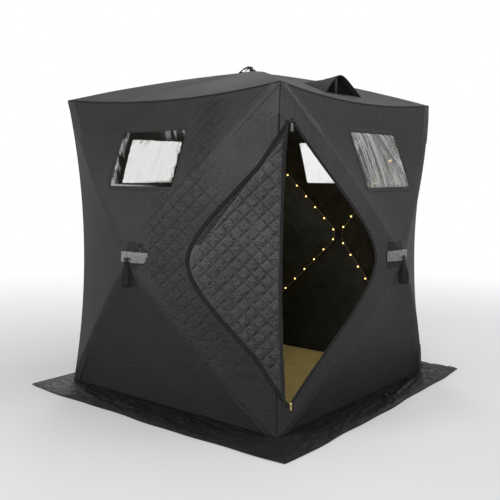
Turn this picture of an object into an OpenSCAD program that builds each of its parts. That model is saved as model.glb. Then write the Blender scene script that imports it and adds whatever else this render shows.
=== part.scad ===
/* [Shelter] */
// Length of each side of the square base, measured between the fabric corners
base_side = 1800; // [1600:10:2000]
// Height of the four eave corners above the ground
eave_height = 1970; // [1850:10:2100]
// Rise of the roof hub above the eave corners
roof_rise = 215; // [180:5:260]
// Height of the four wall hubs above the ground
hub_height = 970; // [920:5:1020]
// Distance that each wall hub stands out from the base line of its wall
hub_reach = 285; // [230:5:320]

/* [Fabric] */
// Thickness of the quilted fabric
fabric_t = 6; // [4:0.5:8]
// Distance that each corner edge is pulled in at mid height
corner_pull = 63; // [45:1:80]
// Distance that each eave sags at its middle
eave_sag = 48; // [30:1:60]
// Distance that each eave is pulled in at its middle
eave_pull = 30; // [15:1:45]
// Depth of the dip of the fabric between two poles
fabric_dip = 20; // [10:1:30]

/* [Frame] */
// Diameter of the bowed poles
pole_d = 11; // [8:0.5:13]
// Rise of a wall pole at the middle of its length
wall_bow = 35; // [20:1:50]
// Rise of a roof pole at the middle of its length
roof_bow = 25; // [15:1:40]
// Length left free between a pole end and its fabric corner
pole_end = 55; // [45:1:80]
// Diameter of a hub
hub_d = 72; // [60:1:84]
// Thickness of a hub
hub_t = 34; // [30:1:40]
// Outer diameter of the ring that holds the patch and the strap on a hub
ring_d = 29; // [26:1:36]
// Thickness of that ring
ring_t = 8; // [6:0.5:9]

/* [Door] */
// Half width of the door panel, from its fold to its side point
door_half = 600; // [520:5:610]
// Drop of the top point of the door below the eave corners
door_drop = 195; // [140:5:230]
// Height of the bottom point of the door above the ground
door_bottom = 175; // [140:5:230]
// Distance from the corner to the fold of the door panel, along the right wall
fold_at = 75; // [60:1:90]
// Roundness of the side points of the door
door_round = 4; // [3:1:6]
// Width of the zip welt round the door
zip_w = 14; // [10:1:18]
// Thickness of the zip welt
zip_t = 3; // [2:0.5:4]
// Length of the pull tab at the top of the zip
tab_l = 52; // [40:1:60]

/* [Windows] */
// Width of a window
window_w = 540; // [440:5:580]
// Height of a window
window_h = 332; // [260:2:350]
// Drop of the upper edge of a window below the eave corners
window_drop = 238; // [215:2:260]
// Radius of the window corners
window_r = 14; // [6:1:30]

/* [Ground] */
// Width of the snow skirt beyond the walls
skirt_w = 240; // [150:5:270]
// Thickness of the snow skirt
skirt_t = 5; // [4:0.5:8]
// Thickness of the floor mat
mat_t = 25; // [12:1:35]

/* [Hub patches] */
// Length of a reflective patch
patch_l = 205; // [180:5:280]
// Height of a reflective patch
patch_h = 72; // [45:1:75]
// Thickness of a reflective patch
patch_t = 3; // [2:0.5:5]
// Distance that a patch is set from the middle of its hub towards the door side
patch_shift = 40; // [0:1:50]
// Distance that a patch is set above the middle of its hub
patch_raise = 16; // [0:1:24]
// Width of a pull strap
strap_w = 34; // [24:1:36]
// Thickness of the webbing of a pull strap
strap_t = 2.5; // [2:0.25:3.5]
// Length that a pull strap hangs below its hub
strap_l = 165; // [140:5:200]
// Widest opening of the loop of a pull strap
strap_gape = 30; // [20:1:36]
// Upward tilt of the roof strap in degrees
roof_strap_tilt = 15; // [15:1:35]
// Turn of the roof strap about its hub in degrees, from the left wall towards the back
roof_strap_turn = 15; // [0:5:45]

/* [Roof vents] */
// Distance from the middle of the roof to the back end of a vent ridge
vent_from = 380; // [350:5:430]
// Distance from the middle of the roof to the mouth of a vent
vent_to = 700; // [660:5:730]
// Distance of the vent from the middle line of its roof panel
vent_side = 70; // [50:5:90]
// Width of the mouth of a vent
vent_w = 440; // [380:5:460]
// Height of the mouth of a vent
vent_h = 122; // [100:2:140]
// Distance that the top of the mouth leans to the left of its middle
vent_lean = 65; // [0:5:80]
// Width of the flat strut that holds a vent open
strut_w = 26; // [16:1:34]
// Distance of the strut from the top of the mouth
strut_side = 27; // [0:1:40]

/* [String lights] */
// Distance along a pole from the hub to the first bulb
bulb_first = 62; // [62:1:90]
// Distance that the bulbs on the right of the back wall sit further out, seen from inside
bulb_shift = 36; // [0:2:60]
// Distance between two bulbs along the wire
bulb_step = 124; // [100:2:200]
// Diameter of a bulb
bulb_d = 14; // [10:1:20]
// Diameter of a bulb socket
socket_d = 9; // [7:0.5:12]
// Length of a bulb socket
socket_l = 10; // [8:0.5:14]
// Diameter of the wire
wire_d = 4; // [3:0.5:6]

/* [Hidden] */
a = base_side / 2;
rows = 8;
cols = 10;
door_steps = 32;
curve_fn = 48;
bow_fn = 360;
hub_gap = 4;
pole_gap = 2.5;
zip_gap = 1;
window_gap = 0.5;
mat_gap = 12;
layer_gap = 2;
patch_gap = 1;
patch_ease = 0.7;
wire_gap = 1;
bulb_gap = 0.5;
bulb_sink = 2;
vent_gap = 1;
vent_t = 4;
vent_flank = 8;
vent_back = 24;
vent_sink = 60;
vent_steps = 16;
mouth_ratio = 1.25;
strut_t = 4;
strut_gap = 8;
strap_gap = 0.5;
strap_steps = 24;
strap_low = 1.6;
strap_fold = 2 * strap_t;
tab_t = 4;
tab_w = 20;
tab_gap = 0.5;
out_of_wall = [0, -1, 0];
out_of_roof = [0, 0, 1];
hub_share = (hub_d / 2 + hub_gap) / a;
tab_lift = patch_gap + patch_t + strap_gap;
wire_start = ((hub_d + wire_d) / 2 + 2 * wire_gap) / a;
pole_depth = fabric_t + pole_gap + pole_d / 2;
wire_depth = pole_depth + pole_d / 2 + wire_gap + wire_d / 2;
wire_end = 1.5 * pole_end;
bulb_depth = wire_depth + wire_d / 2 + bulb_gap;
door_top = eave_height - door_drop;
door_mid = (door_top + door_bottom) / 2;
door_rise = (door_top - door_bottom) / 2;
far = 2 * a;

// Corner of the front wall at a depth under the outer skin: side -1 left or 1 right, level 0 base or 1 eave
function wall_corner(side, level, depth) =
    [side * (a - depth), depth - a, level == 0 ? skirt_t : eave_height - depth];

function wall_hub(depth) = [0, depth - a - hub_reach, hub_height];
function roof_hub_point(depth) = [0, 0, eave_height + roof_rise - depth];

// A bowed pole edge of the cloth: hub, corner, way out and rise at mid length
function wall_edge(side, level, depth = 0) =
    [wall_hub(depth), wall_corner(side, level, depth), out_of_wall, wall_bow];

function roof_edge(side, depth = 0) =
    [roof_hub_point(depth), wall_corner(side, 1, depth), out_of_roof, roof_bow];

// Chord length, radius and axes of the arc of an edge
function edge_length(edge) = norm(edge[1] - edge[0]);
function edge_radius(edge) = (pow(edge_length(edge), 2) / 4 + pow(edge[3], 2)) / (2 * edge[3]);
function edge_along(edge) = (edge[1] - edge[0]) / edge_length(edge);
function edge_rise(edge) = let (x = edge_along(edge), up = edge[2] - x * (edge[2] * x)) up / norm(up);
function edge_centre(edge) = (edge[0] + edge[1]) / 2 - edge_rise(edge) * (edge_radius(edge) - edge[3]);

// Angle from the middle of the arc to share s of its chord, and the way out of the cloth there
function edge_turn(edge, s) = asin(edge_length(edge) * (s - 0.5) / edge_radius(edge));
function edge_up(edge, s) =
    let (turn = edge_turn(edge, s)) sin(turn) * edge_along(edge) + cos(turn) * edge_rise(edge);

// Point of an edge, or of the arc at a depth under it, at share s from the hub to the corner
function edge_point(edge, s, depth = 0) = edge_centre(edge) + (edge_radius(edge) - depth) * edge_up(edge, s);

// A sector of cloth: first edge, last edge and the bend of the free side at its middle
function wall_sector(name, depth) =
    name == "top" ? [wall_edge(-1, 1, depth), wall_edge(1, 1, depth), [0, eave_pull, -eave_sag]]
    : name == "right" ? [wall_edge(1, 1, depth), wall_edge(1, 0, depth), [-corner_pull, corner_pull, 0]]
    : name == "bottom" ? [wall_edge(1, 0, depth), wall_edge(-1, 0, depth), [0, 0, 0]]
    : [wall_edge(-1, 0, depth), wall_edge(-1, 1, depth), [corner_pull, corner_pull, 0]];

function roof_sector(depth) = [roof_edge(1, depth), roof_edge(-1, depth), [0, eave_pull, -eave_sag]];

// Point of a sector: s runs from the hub to the free side, t from the first to the last edge
function skin_point(sector, s, t) =
    (1 - t) * edge_point(sector[0], s) + t * edge_point(sector[1], s)
    + 4 * t * (1 - t) * (s * s * sector[2] - 4 * s * (1 - s) * fabric_dip * sector[0][2]);

function skin_grid(sector) =
    [for (i = [0:rows]) for (j = [0:cols])
        skin_point(sector, hub_share + (1 - hub_share) * i / rows, j / cols)];

// Number of a grid point: layer 0 outer, 1 inner
function at(layer, i, j) = layer * (rows + 1) * (cols + 1) + i * (cols + 1) + j;

// Triangles of one skin, then of its four rims; rims that meet share their diagonals
function skin_faces() =
    [for (i = [0:rows - 1]) for (j = [0:cols - 1]) for (face = [
        [at(0, i, j), at(0, i + 1, j), at(0, i + 1, j + 1)],
        [at(0, i, j), at(0, i + 1, j + 1), at(0, i, j + 1)],
        [at(1, i, j), at(1, i + 1, j + 1), at(1, i + 1, j)],
        [at(1, i, j), at(1, i, j + 1), at(1, i + 1, j + 1)]]) face];

function edge_rim_faces() =
    [for (i = [0:rows - 1]) for (face = [
        [at(0, i + 1, 0), at(0, i, 0), at(1, i, 0)],
        [at(0, i + 1, 0), at(1, i, 0), at(1, i + 1, 0)],
        [at(0, i, cols), at(0, i + 1, cols), at(1, i, cols)],
        [at(0, i + 1, cols), at(1, i + 1, cols), at(1, i, cols)]]) face];

function hub_rim_faces() =
    [for (j = [0:cols - 1]) for (face = [
        [at(0, 0, j), at(0, 0, j + 1), at(1, 0, j + 1)],
        [at(0, 0, j), at(1, 0, j + 1), at(1, 0, j)]]) face];

function free_rim_faces() =
    [for (j = [0:cols - 1]) for (face = j < cols / 2
        ? [[at(0, rows, j + 1), at(0, rows, j), at(1, rows, j + 1)],
            [at(0, rows, j), at(1, rows, j), at(1, rows, j + 1)]]
        : [[at(0, rows, j + 1), at(0, rows, j), at(1, rows, j)],
            [at(0, rows, j + 1), at(1, rows, j), at(1, rows, j + 1)]]) face];

// Closed cloth between an outer and an inner sector
module cloth(outer, inner) {
    polyhedron(concat(skin_grid(outer), skin_grid(inner)),
        concat(skin_faces(), edge_rim_faces(), hub_rim_faces(), free_rim_faces()));
}

// Cloth of a wall sector or of a roof panel between two depths
module wall_cloth(name, from = 0, to = fabric_t) {
    cloth(wall_sector(name, from), wall_sector(name, to));
}

module roof_cloth(from = 0, to = fabric_t) {
    cloth(roof_sector(from), roof_sector(to));
}

// Turns a piece of the front wall to wall k: 0 front, 1 right, 2 back, 3 left
module on_wall(k) {
    rotate([0, 0, 90 * k]) children();
}

// Cutter through the front wall with a flat outline in x and z
module through_wall() {
    translate([0, -a / 2, 0]) rotate([90, 0, 0]) linear_extrude(height = a) children();
}

// Share of the door half width at share t of its rise: full and level at t = 0, a point at t = 1
function door_share(t) = (1 - t) * (1 + (1 - t) * (1 - pow(1 - t, door_round)) / door_round);

// Outline of the whole door panel about its fold, grown by a margin
module door_outline(grow = 0) {
    size = 1 + grow * norm([door_half, door_rise]) / (door_half * door_rise);
    half = [for (i = [-door_steps / 2:door_steps / 2])
        let (t = 2 * i / door_steps) size * [door_half * door_share(abs(t)), door_rise * t]];
    other = [for (i = [1:door_steps - 1]) let (p = half[door_steps - i]) [-p[0], p[1]]];
    translate([0, door_mid]) polygon(concat(half, other));
}

// Door outline where it falls on the front wall and on the right wall
module door_on_front(grow = 0) {
    translate([a + fold_at, 0]) door_outline(grow);
}

module door_on_right(grow = 0) {
    translate([fold_at - a, 0]) door_outline(grow);
}

module below_hub() {
    translate([-far, -far]) square([2 * far, far + hub_height]);
}

// Strip of the right wall between the corner and the fold
module corner_strip() {
    translate([-far, 0]) square([far - a + fold_at, far]);
}

module window_outline(grow = 0) {
    x = window_w / 2 + grow - window_r;
    y = window_h / 2 + grow - window_r;
    translate([0, eave_height - window_drop - window_h / 2]) {
        square([2 * x, 2 * (y + window_r)], center = true);
        square([2 * (x + window_r), 2 * y], center = true);
        for (i = [-1, 1]) for (j = [-1, 1])
            translate([i * x, j * y]) circle(r = window_r, $fn = curve_fn);
    }
}

module wall_top(k) {
    on_wall(k) difference() {
        wall_cloth("top");
        through_wall() window_outline();
    }
}

module window_pane(k) {
    on_wall(k) intersection() {
        wall_cloth("top");
        through_wall() window_outline(-window_gap);
    }
}

module front_wall_top() {
    color("dimgray") wall_top(0);
}

module front_wall_bottom() {
    color("dimgray") wall_cloth("bottom");
}

module front_wall_side() {
    color("dimgray") wall_cloth("left");
}

module front_door_side_upper() {
    color("dimgray") difference() {
        wall_cloth("right");
        through_wall() door_on_front();
        through_wall() below_hub();
    }
}

module front_door_side_lower() {
    color("dimgray") difference() {
        intersection() {
            wall_cloth("right");
            through_wall() below_hub();
        }
        through_wall() door_on_front();
    }
}

module right_wall_top() {
    color("dimgray") wall_top(1);
}

module right_wall_bottom() {
    color("dimgray") on_wall(1) wall_cloth("bottom");
}

module right_wall_side() {
    color("dimgray") on_wall(1) wall_cloth("right");
}

module right_door_side_upper() {
    color("dimgray") on_wall(1) difference() {
        wall_cloth("left");
        through_wall() door_on_right();
        through_wall() below_hub();
    }
}

module right_door_side_lower() {
    color("dimgray") on_wall(1) difference() {
        intersection() {
            wall_cloth("left");
            through_wall() below_hub();
        }
        through_wall() door_on_right();
    }
}

module back_wall_top() {
    color("dimgray") wall_top(2);
}

module back_wall_bottom() {
    color("dimgray") on_wall(2) wall_cloth("bottom");
}

module back_wall_sides() {
    color("dimgray") on_wall(2) {
        wall_cloth("left");
        wall_cloth("right");
    }
}

module left_wall_top() {
    color("dimgray") wall_top(3);
}

module left_wall_bottom() {
    color("dimgray") on_wall(3) wall_cloth("bottom");
}

module left_wall_sides() {
    color("dimgray") on_wall(3) {
        wall_cloth("left");
        wall_cloth("right");
    }
}

module roof_front() {
    color("gray") roof_cloth();
}

module roof_right() {
    color("gray") on_wall(1) roof_cloth();
}

module roof_back() {
    color("gray") on_wall(2) roof_cloth();
}

module roof_left() {
    color("gray") on_wall(3) roof_cloth();
}

// One layer of the door panel: from the side point on the front wall round the corner to the fold
module door_layer(from, to, grow) {
    intersection() {
        wall_cloth("right", from, to);
        through_wall() door_on_front(grow);
    }
    on_wall(1) intersection() {
        wall_cloth("left", from, to);
        through_wall() intersection() {
            door_on_right(grow);
            corner_strip();
        }
    }
}

module door_panel() {
    color("dimgray") door_layer(0, fabric_t, -zip_gap);
}

module door_panel_folded() {
    inside = fabric_t + layer_gap;
    color("dimgray") door_layer(inside, inside + fabric_t, -zip_w);
}

// Zip welt along the door edge, round both walls; the open half keeps only its wall side
module door_zip() {
    color("black") {
        intersection() {
            wall_cloth("right", -zip_t, 0);
            through_wall() difference() {
                door_on_front(zip_w / 2);
                door_on_front(-zip_w / 2);
            }
        }
        on_wall(1) intersection() {
            wall_cloth("left", -zip_t, 0);
            through_wall() difference() {
                door_on_right(zip_w / 2);
                door_on_right(-zip_w / 2);
                difference() {
                    door_on_right();
                    corner_strip();
                }
            }
        }
    }
}

// Pull tab that hangs over the top of the fold
module door_zip_tab() {
    sector = wall_sector("left", 0);
    top = door_top - zip_w - tab_t;
    s = 1 - fold_at / a;
    low = skin_point(sector, s, 0)[2];
    high = skin_point(sector, s, 1)[2];
    skin = skin_point(sector, s, (top - low) / (high - low));
    color("silver") on_wall(1)
        translate([fold_at - a, skin[1] - zip_t - tab_gap - tab_t / 2, top - tab_l / 2])
            cube([tab_w, tab_t, tab_l], center = true);
}

module front_window() {
    color("lightgray") window_pane(0);
}

module right_window() {
    color("lightgray") window_pane(1);
}

module back_window() {
    color("lightgray") window_pane(2);
}

module left_window() {
    color("lightgray") window_pane(3);
}

module snow_skirt() {
    outer = 2 * (a + skirt_w);
    inner = 2 * (a - fabric_t);
    color("dimgray") linear_extrude(height = skirt_t) difference() {
        square(outer, center = true);
        square(inner, center = true);
    }
}

module floor_mat() {
    side = 2 * (a - fabric_t - mat_gap);
    color("tan") linear_extrude(height = mat_t) square(side, center = true);
}

// Frame at the front wall hub with +Z pointing out of the wall and +Y up, at a depth under the skin
module at_wall_hub(depth) {
    translate(wall_hub(depth)) rotate([90, 0, 0]) children();
}

module hub_body() {
    cylinder(d = hub_d, h = hub_t, $fn = curve_fn);
}

module wall_hubs() {
    color("black") for (k = [0:3]) on_wall(k) at_wall_hub(hub_t) hub_body();
}

module roof_hub() {
    color("black") translate(roof_hub_point(hub_t)) hub_body();
}

// Frame with the given axes and origin
module in_frame(x, y, z, o) {
    multmatrix([[x[0], y[0], z[0], o[0]], [x[1], y[1], z[1], o[1]], [x[2], y[2], z[2], o[2]], [0, 0, 0, 1]])
        children();
}

// Frame on an edge: origin at a depth under it, +X along it and +Z into the room
module on_edge(edge, s, depth) {
    up = edge_up(edge, s);
    side = cross(edge_along(edge), edge_rise(edge));
    way = cross(up, side);
    p = edge_point(edge, s, depth);
    in_frame(way, -side, -up, p) children();
}

// Round bar that follows an edge at a depth under it, from share s0 to share s1
module bar_along(edge, depth, d, s0, s1) {
    x = edge_along(edge);
    y = edge_rise(edge);
    z = cross(x, y);
    mid = edge_centre(edge);
    turn = edge_turn(edge, s1);
    in_frame(x, y, z, mid)
        rotate([0, 0, 90 - turn])
            rotate_extrude(angle = turn - edge_turn(edge, s0), $fn = bow_fn)
                translate([edge_radius(edge) - depth, 0]) circle(d = d, $fn = curve_fn);
}

module pole(edge) {
    l = edge_length(edge);
    bar_along(edge, pole_depth, pole_d, (hub_d / 2 + pole_gap) / l, 1 - pole_end / l);
}

module wall_poles(k) {
    color("black") on_wall(k) for (side = [-1, 1]) for (level = [0, 1]) pole(wall_edge(side, level));
}

module front_poles() {
    wall_poles(0);
}

module right_poles() {
    wall_poles(1);
}

module back_poles() {
    wall_poles(2);
}

module left_poles() {
    wall_poles(3);
}

module roof_poles() {
    color("black") for (k = [0:3]) on_wall(k) pole(roof_edge(1));
}

// Bent patch over a hub, set off to one side: a flat middle under the ring, two wings along the fabric
module hub_patch(way) {
    slope = hub_reach / a;
    flat = patch_ease * wall_bow;
    low = way * patch_shift - patch_l / 2;
    high = way * patch_shift + patch_l / 2;
    back = [[low, (low + flat) * slope], [-flat, 0], [flat, 0], [high, (flat - high) * slope]];
    front = [for (i = [3:-1:0]) back[i] + [0, patch_t]];
    at_wall_hub(-patch_gap) translate([0, patch_raise + patch_h / 2, 0]) rotate([90, 0, 0])
        linear_extrude(height = patch_h) polygon(concat(back, front));
}

module hub_patches() {
    color("silver") for (k = [0:3]) on_wall(k) hub_patch(k % 2 == 0 ? 1 : -1);
}

// Ring that holds the tab of a strap on a hub
module hub_ring() {
    translate([0, 0, tab_lift + strap_fold + strap_gap + ring_t / 2])
        rotate_extrude($fn = curve_fn) translate([(ring_d - ring_t) / 2, 0]) circle(d = ring_t, $fn = curve_fn);
}

// Frame at the roof hub, which has no patch: +Z points up and -Y along the strap
module at_roof_hub() {
    translate(roof_hub_point(patch_gap + patch_t)) rotate([0, 0, -90 - roof_strap_turn]) children();
}

module hub_rings() {
    color("black") {
        for (k = [0:3]) on_wall(k) at_wall_hub(0) hub_ring();
        at_roof_hub() hub_ring();
    }
}

// Drop-shaped hollow of a strap loop along -Y, or with grow the outline of the webbing round it
module loop_outline(grow = 0) {
    length = strap_l - ring_d / 2 - 2 * strap_t + 2 * grow;
    side = [for (i = [0:strap_steps]) let (q = i / strap_steps)
        [grow + strap_gape / 2 * sin(180 * pow(q, strap_low)), grow - strap_t - q * length]];
    first = grow > 0 ? 0 : 1;
    polygon(concat(side, [for (i = [strap_steps - first:-1:first]) [-side[i][0], side[i][1]]]));
}

// Pull strap on a hub: a flat tab under the ring, then a loop that leaves it along -Y, tilted up
module pull_strap(tilt) {
    translate([0, 0, tab_lift]) {
        translate([-strap_w / 2, -ring_d / 2 - strap_t, 0]) cube([strap_w, ring_d + strap_t, strap_fold]);
        translate([0, -ring_d / 2, strap_t]) rotate([-tilt, 0, 0]) rotate([0, -90, 0])
            linear_extrude(height = strap_w, center = true) difference() {
                loop_outline(strap_t);
                loop_outline();
            }
    }
}

module wall_pull_straps() {
    color("black") for (k = [0:3]) on_wall(k) at_wall_hub(0) pull_strap(0);
}

module roof_pull_strap() {
    color("black") at_roof_hub() pull_strap(roof_strap_tilt);
}

// Share of the mouth height at share t of its half width: a triangle with a round top
function mouth_share(t) =
    mouth_ratio - sqrt(pow(mouth_ratio - 1, 2) + (2 * mouth_ratio - 1) * t * t);

function vent_foot() = skin_point(roof_sector(0), vent_to / a, 0.5)[2];

// Cone from the ridge end to the mouth outline: inset 0 is the skin of the hood, inset 1 its hollow
module vent_block(inset) {
    foot = vent_foot() - inset * vent_t;
    half = vent_w / 2 - inset * vent_flank;
    y = -vent_to - inset;
    mouth = concat(
        [for (i = [-vent_steps / 2:vent_steps / 2]) let (t = 2 * i / vent_steps)
            [half * t - vent_lean * (1 - t * t), y, foot + vent_h * mouth_share(t)]],
        [[half, y, foot - vent_sink], [-half, y, foot - vent_sink]]);
    count = len(mouth);
    end = [0, -vent_from - inset * vent_back,
        skin_point(roof_sector(0), vent_from / a, 0.5)[2] - vent_t - inset * vent_t];
    translate([vent_side, 0, 0])
        polyhedron(concat(mouth, [end]), concat([[for (i = [0:count - 1]) i]],
            [for (i = [0:count - 1]) [(i + 1) % count, i, count]]));
}

module vent_hood() {
    difference() {
        vent_block(0);
        vent_block(1);
        roof_cloth(-vent_gap, 2 * vent_sink);
    }
}

module roof_vent_hoods() {
    color("dimgray") {
        on_wall(1) vent_hood();
        on_wall(3) vent_hood();
    }
}

// Flat strut inside the mouth of a vent
module vent_strut() {
    reach = strut_side + strut_w / 2;
    high = vent_h * mouth_share(2 * reach / vent_w) - vent_t - strut_gap;
    translate([vent_side - vent_lean - reach, -vent_to + strut_t, vent_foot() + strut_t])
        cube([strut_w, strut_t, high - strut_t]);
}

module roof_vent_struts() {
    color("black") {
        on_wall(1) vent_strut();
        on_wall(3) vent_strut();
    }
}

// Places children at each bulb of one pole of the front wall, from a first distance along it
module at_bulbs(edge, first, depth) {
    l = edge_length(edge);
    for (n = [0:floor((l - 2 * pole_end - first) / bulb_step)])
        on_edge(edge, (first + n * bulb_step) / l, depth) children();
}

// Wire of one side: along the upper pole, straight past the hub and along the lower pole
module wire_side(side) {
    for (level = [0, 1]) {
        edge = wall_edge(side, level);
        bar_along(edge, wire_depth, wire_d, wire_start, 1 - wire_end / edge_length(edge));
    }
    low = edge_point(wall_edge(side, 0), wire_start, wire_depth);
    way = edge_point(wall_edge(side, 1), wire_start, wire_depth) - low;
    translate(low) rotate([0, acos(way[2] / norm(way)), atan2(way[1], way[0])])
        translate([0, 0, wire_d]) cylinder(d = wire_d, h = norm(way) - 2 * wire_d, $fn = curve_fn);
}

module string_light_wire() {
    color("black") on_wall(2) {
        wire_side(-1);
        wire_side(1);
    }
}

// Bulb in its socket, which stands on the wire
module bulb() {
    cylinder(d = socket_d, h = socket_l + bulb_d / 4, $fn = curve_fn);
    translate([0, 0, socket_l + bulb_d / 2 - bulb_sink]) sphere(d = bulb_d, $fn = curve_fn);
}

module string_light_bulbs() {
    color("khaki") on_wall(2) for (side = [-1, 1]) for (level = [0, 1])
        at_bulbs(wall_edge(side, level), side > 0 ? bulb_first : bulb_first + bulb_shift, bulb_depth) bulb();
}

front_wall_top();
front_wall_bottom();
front_wall_side();
front_door_side_upper();
front_door_side_lower();
right_wall_top();
right_wall_bottom();
right_wall_side();
right_door_side_upper();
right_door_side_lower();
back_wall_top();
back_wall_bottom();
back_wall_sides();
left_wall_top();
left_wall_bottom();
left_wall_sides();
roof_front();
roof_right();
roof_back();
roof_left();
door_panel();
door_panel_folded();
door_zip();
door_zip_tab();
front_window();
right_window();
back_window();
left_window();
snow_skirt();
floor_mat();
wall_hubs();
roof_hub();
front_poles();
right_poles();
back_poles();
left_poles();
roof_poles();
hub_patches();
hub_rings();
wall_pull_straps();
roof_pull_strap();
roof_vent_hoods();
roof_vent_struts();
string_light_wire();
string_light_bulbs();
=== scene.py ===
"""Dresses the ice fishing hut: quilted cloth stretched on a hub frame, in metres in the frame of the CAD."""

import logging
import math
from collections.abc import Callable, Sequence
from dataclasses import dataclass, field
from enum import Enum, IntEnum

import bpy
import numpy as np
from mathutils import Matrix, Vector


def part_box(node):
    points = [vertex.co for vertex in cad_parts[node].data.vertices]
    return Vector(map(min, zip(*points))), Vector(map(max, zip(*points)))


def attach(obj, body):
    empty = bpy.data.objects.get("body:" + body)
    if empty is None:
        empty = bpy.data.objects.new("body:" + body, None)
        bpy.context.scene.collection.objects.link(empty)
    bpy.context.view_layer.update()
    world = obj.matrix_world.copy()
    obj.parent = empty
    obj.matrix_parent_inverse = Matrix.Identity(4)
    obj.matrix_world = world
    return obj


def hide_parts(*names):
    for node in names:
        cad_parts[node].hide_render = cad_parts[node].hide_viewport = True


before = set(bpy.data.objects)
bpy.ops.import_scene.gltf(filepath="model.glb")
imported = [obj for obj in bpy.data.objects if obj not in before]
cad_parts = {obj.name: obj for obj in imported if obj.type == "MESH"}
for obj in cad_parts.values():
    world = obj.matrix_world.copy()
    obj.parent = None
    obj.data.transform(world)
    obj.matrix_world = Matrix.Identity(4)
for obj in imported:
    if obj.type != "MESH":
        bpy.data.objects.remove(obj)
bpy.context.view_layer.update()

Points = np.ndarray
Colour = tuple[float, float, float]
Spot = tuple[float, float, float]
Place = Callable[[Points], Points]
Thing = bpy.types.Object
Socket = bpy.types.NodeSocket
Material = bpy.types.Material

log = logging.getLogger("hut")


@dataclass(frozen=True)
class HutSizes:
    """Sizes of the hut in metres, the same as in the solids."""

    half: float = 0.900
    eave: float = 1.970
    roof_rise: float = 0.215
    base: float = 0.005
    hub_height: float = 0.970
    hub_reach: float = 0.285
    hub_radius: float = 0.036
    cloth: float = 0.006
    corner_pull: float = 0.063
    eave_sag: float = 0.048
    eave_pull: float = 0.030
    dip: float = 0.020
    wall_bow: float = 0.035
    roof_bow: float = 0.025
    pole_depth: float = 0.014
    pole_radius: float = 0.0055
    diamond: float = 0.090
    door_half: float = 0.600
    door_top: float = 1.775
    door_bottom: float = 0.175
    fold: float = 0.075
    window_width: float = 0.540
    window_height: float = 0.332
    window_middle: float = 1.566
    window_round: float = 0.014
    skirt: float = 0.240
    strap_width: float = 0.034
    strap_length: float = 0.165
    ring: float = 0.029
    bulb_first: float = 0.062
    bulb_shift: float = 0.036
    bulb_step: float = 0.124
    bulb_radius: float = 0.007
    wire_radius: float = 0.002


SIZES = HutSizes()


def turned(points: Points, quarter: Points | int) -> Points:
    """Points turned about Z by quarters of a turn.

    Args:
        points: Rows of x, y, z.
        quarter: Number of quarter turns, one for all or one for each row.

    Returns:
        The turned points.
    """
    angle = np.asarray(quarter) * math.pi / 2
    cos, sin = np.cos(angle), np.sin(angle)
    x, y, z = points.T
    return np.stack([x * cos - y * sin, x * sin + y * cos, z], axis=1)


class Side(Enum):
    """The walls, by their place round the hut, from the front towards the right."""

    FRONT = 0
    RIGHT = 1
    BACK = 2
    LEFT = 3

    @property
    def middle(self) -> float:
        """Unrolled place of the wall's middle, in metres round the hut."""
        return 2 * SIZES.half * self.value

    @property
    def word(self) -> str:
        """The wall's name as pieces use it."""
        return self.name.lower()

    @property
    def near(self) -> bool:
        """Whether the wall is one of the two that the door is in."""
        return self.value < 2

    @property
    def hand(self) -> int:
        """1 on the front and the back wall, -1 on the two between, which mirror them."""
        return 1 if self.value % 2 == 0 else -1

    @property
    def out(self) -> Points:
        """Direction that the wall faces."""
        return turned(np.array([[0.0, -1.0, 0.0]]), self.value)[0]


class Gore(Enum):
    """The four triangles of a wall that meet at its hub."""

    TOP = 0
    RIGHT = 1
    BOTTOM = 2
    LEFT = 3


class Crisp(IntEnum):
    """Angles in degrees past which an edge is shaded sharp."""

    METAL = 35
    PLASTIC = 40
    CLOTH = 45
    ROUND = 50
    CRUMPLED = 60


class Seed(IntEnum):
    """Starting numbers of the crease patterns, one for each kind of cloth."""

    WALL = 3
    DOOR = 5
    FRONT = 7
    ROOF = 11
    FLAP = 21
    VINYL = 31
    SKIRT = 41
    MAT = 51
    HOOD = 61


def smooth(low: float, high: float, value: Points) -> Points:
    """Smooth step of numbers from 0 at low to 1 at high, where high may be the smaller one."""
    share = np.clip((value - low) / (high - low), 0, 1)
    return share * share * (3 - 2 * share)


def unit(vectors: Points) -> Points:
    """Vectors of length 1 in the same directions."""
    return vectors / np.maximum(np.linalg.norm(vectors, axis=-1, keepdims=True), 1e-12)


def stack(*columns: Points | float) -> Points:
    """Rows made of columns, of which some may be one number for all rows."""
    return np.stack(np.broadcast_arrays(*(np.asarray(column, float) for column in columns)), axis=1)


def bead(distance: Points, width: float) -> Points:
    """Round swelling: 1 where the distance is 0, nearly 0 past twice the width."""
    return np.exp(-((distance / width) ** 2))


@dataclass(frozen=True)
class BowedEdge:
    """A pole line of the cloth: an arc from a hub to a corner."""

    hub: Spot
    corner: Spot
    out: Spot
    bow: float

    @property
    def length(self) -> float:
        """Straight distance from the hub to the corner."""
        return float(np.linalg.norm(np.subtract(self.corner, self.hub)))

    def point(self, share: Points, depth: float = 0.0) -> Points:
        """Points on the arc.

        Args:
            share: Shares of the way from the hub to the corner.
            depth: Distance under the arc, towards its centre.

        Returns:
            Rows of x, y, z.
        """
        hub, corner, out = (np.array(v, float) for v in (self.hub, self.corner, self.out))
        radius = (self.length**2 / 4 + self.bow**2) / (2 * self.bow)
        along = (corner - hub) / self.length
        rise = unit(out - along * (out @ along))
        centre = (hub + corner) / 2 - rise * (radius - self.bow)
        turn = np.arcsin(self.length * (np.asarray(share) - 0.5) / radius)[:, None]
        return centre + (radius - depth) * (np.sin(turn) * along + np.cos(turn) * rise)


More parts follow.
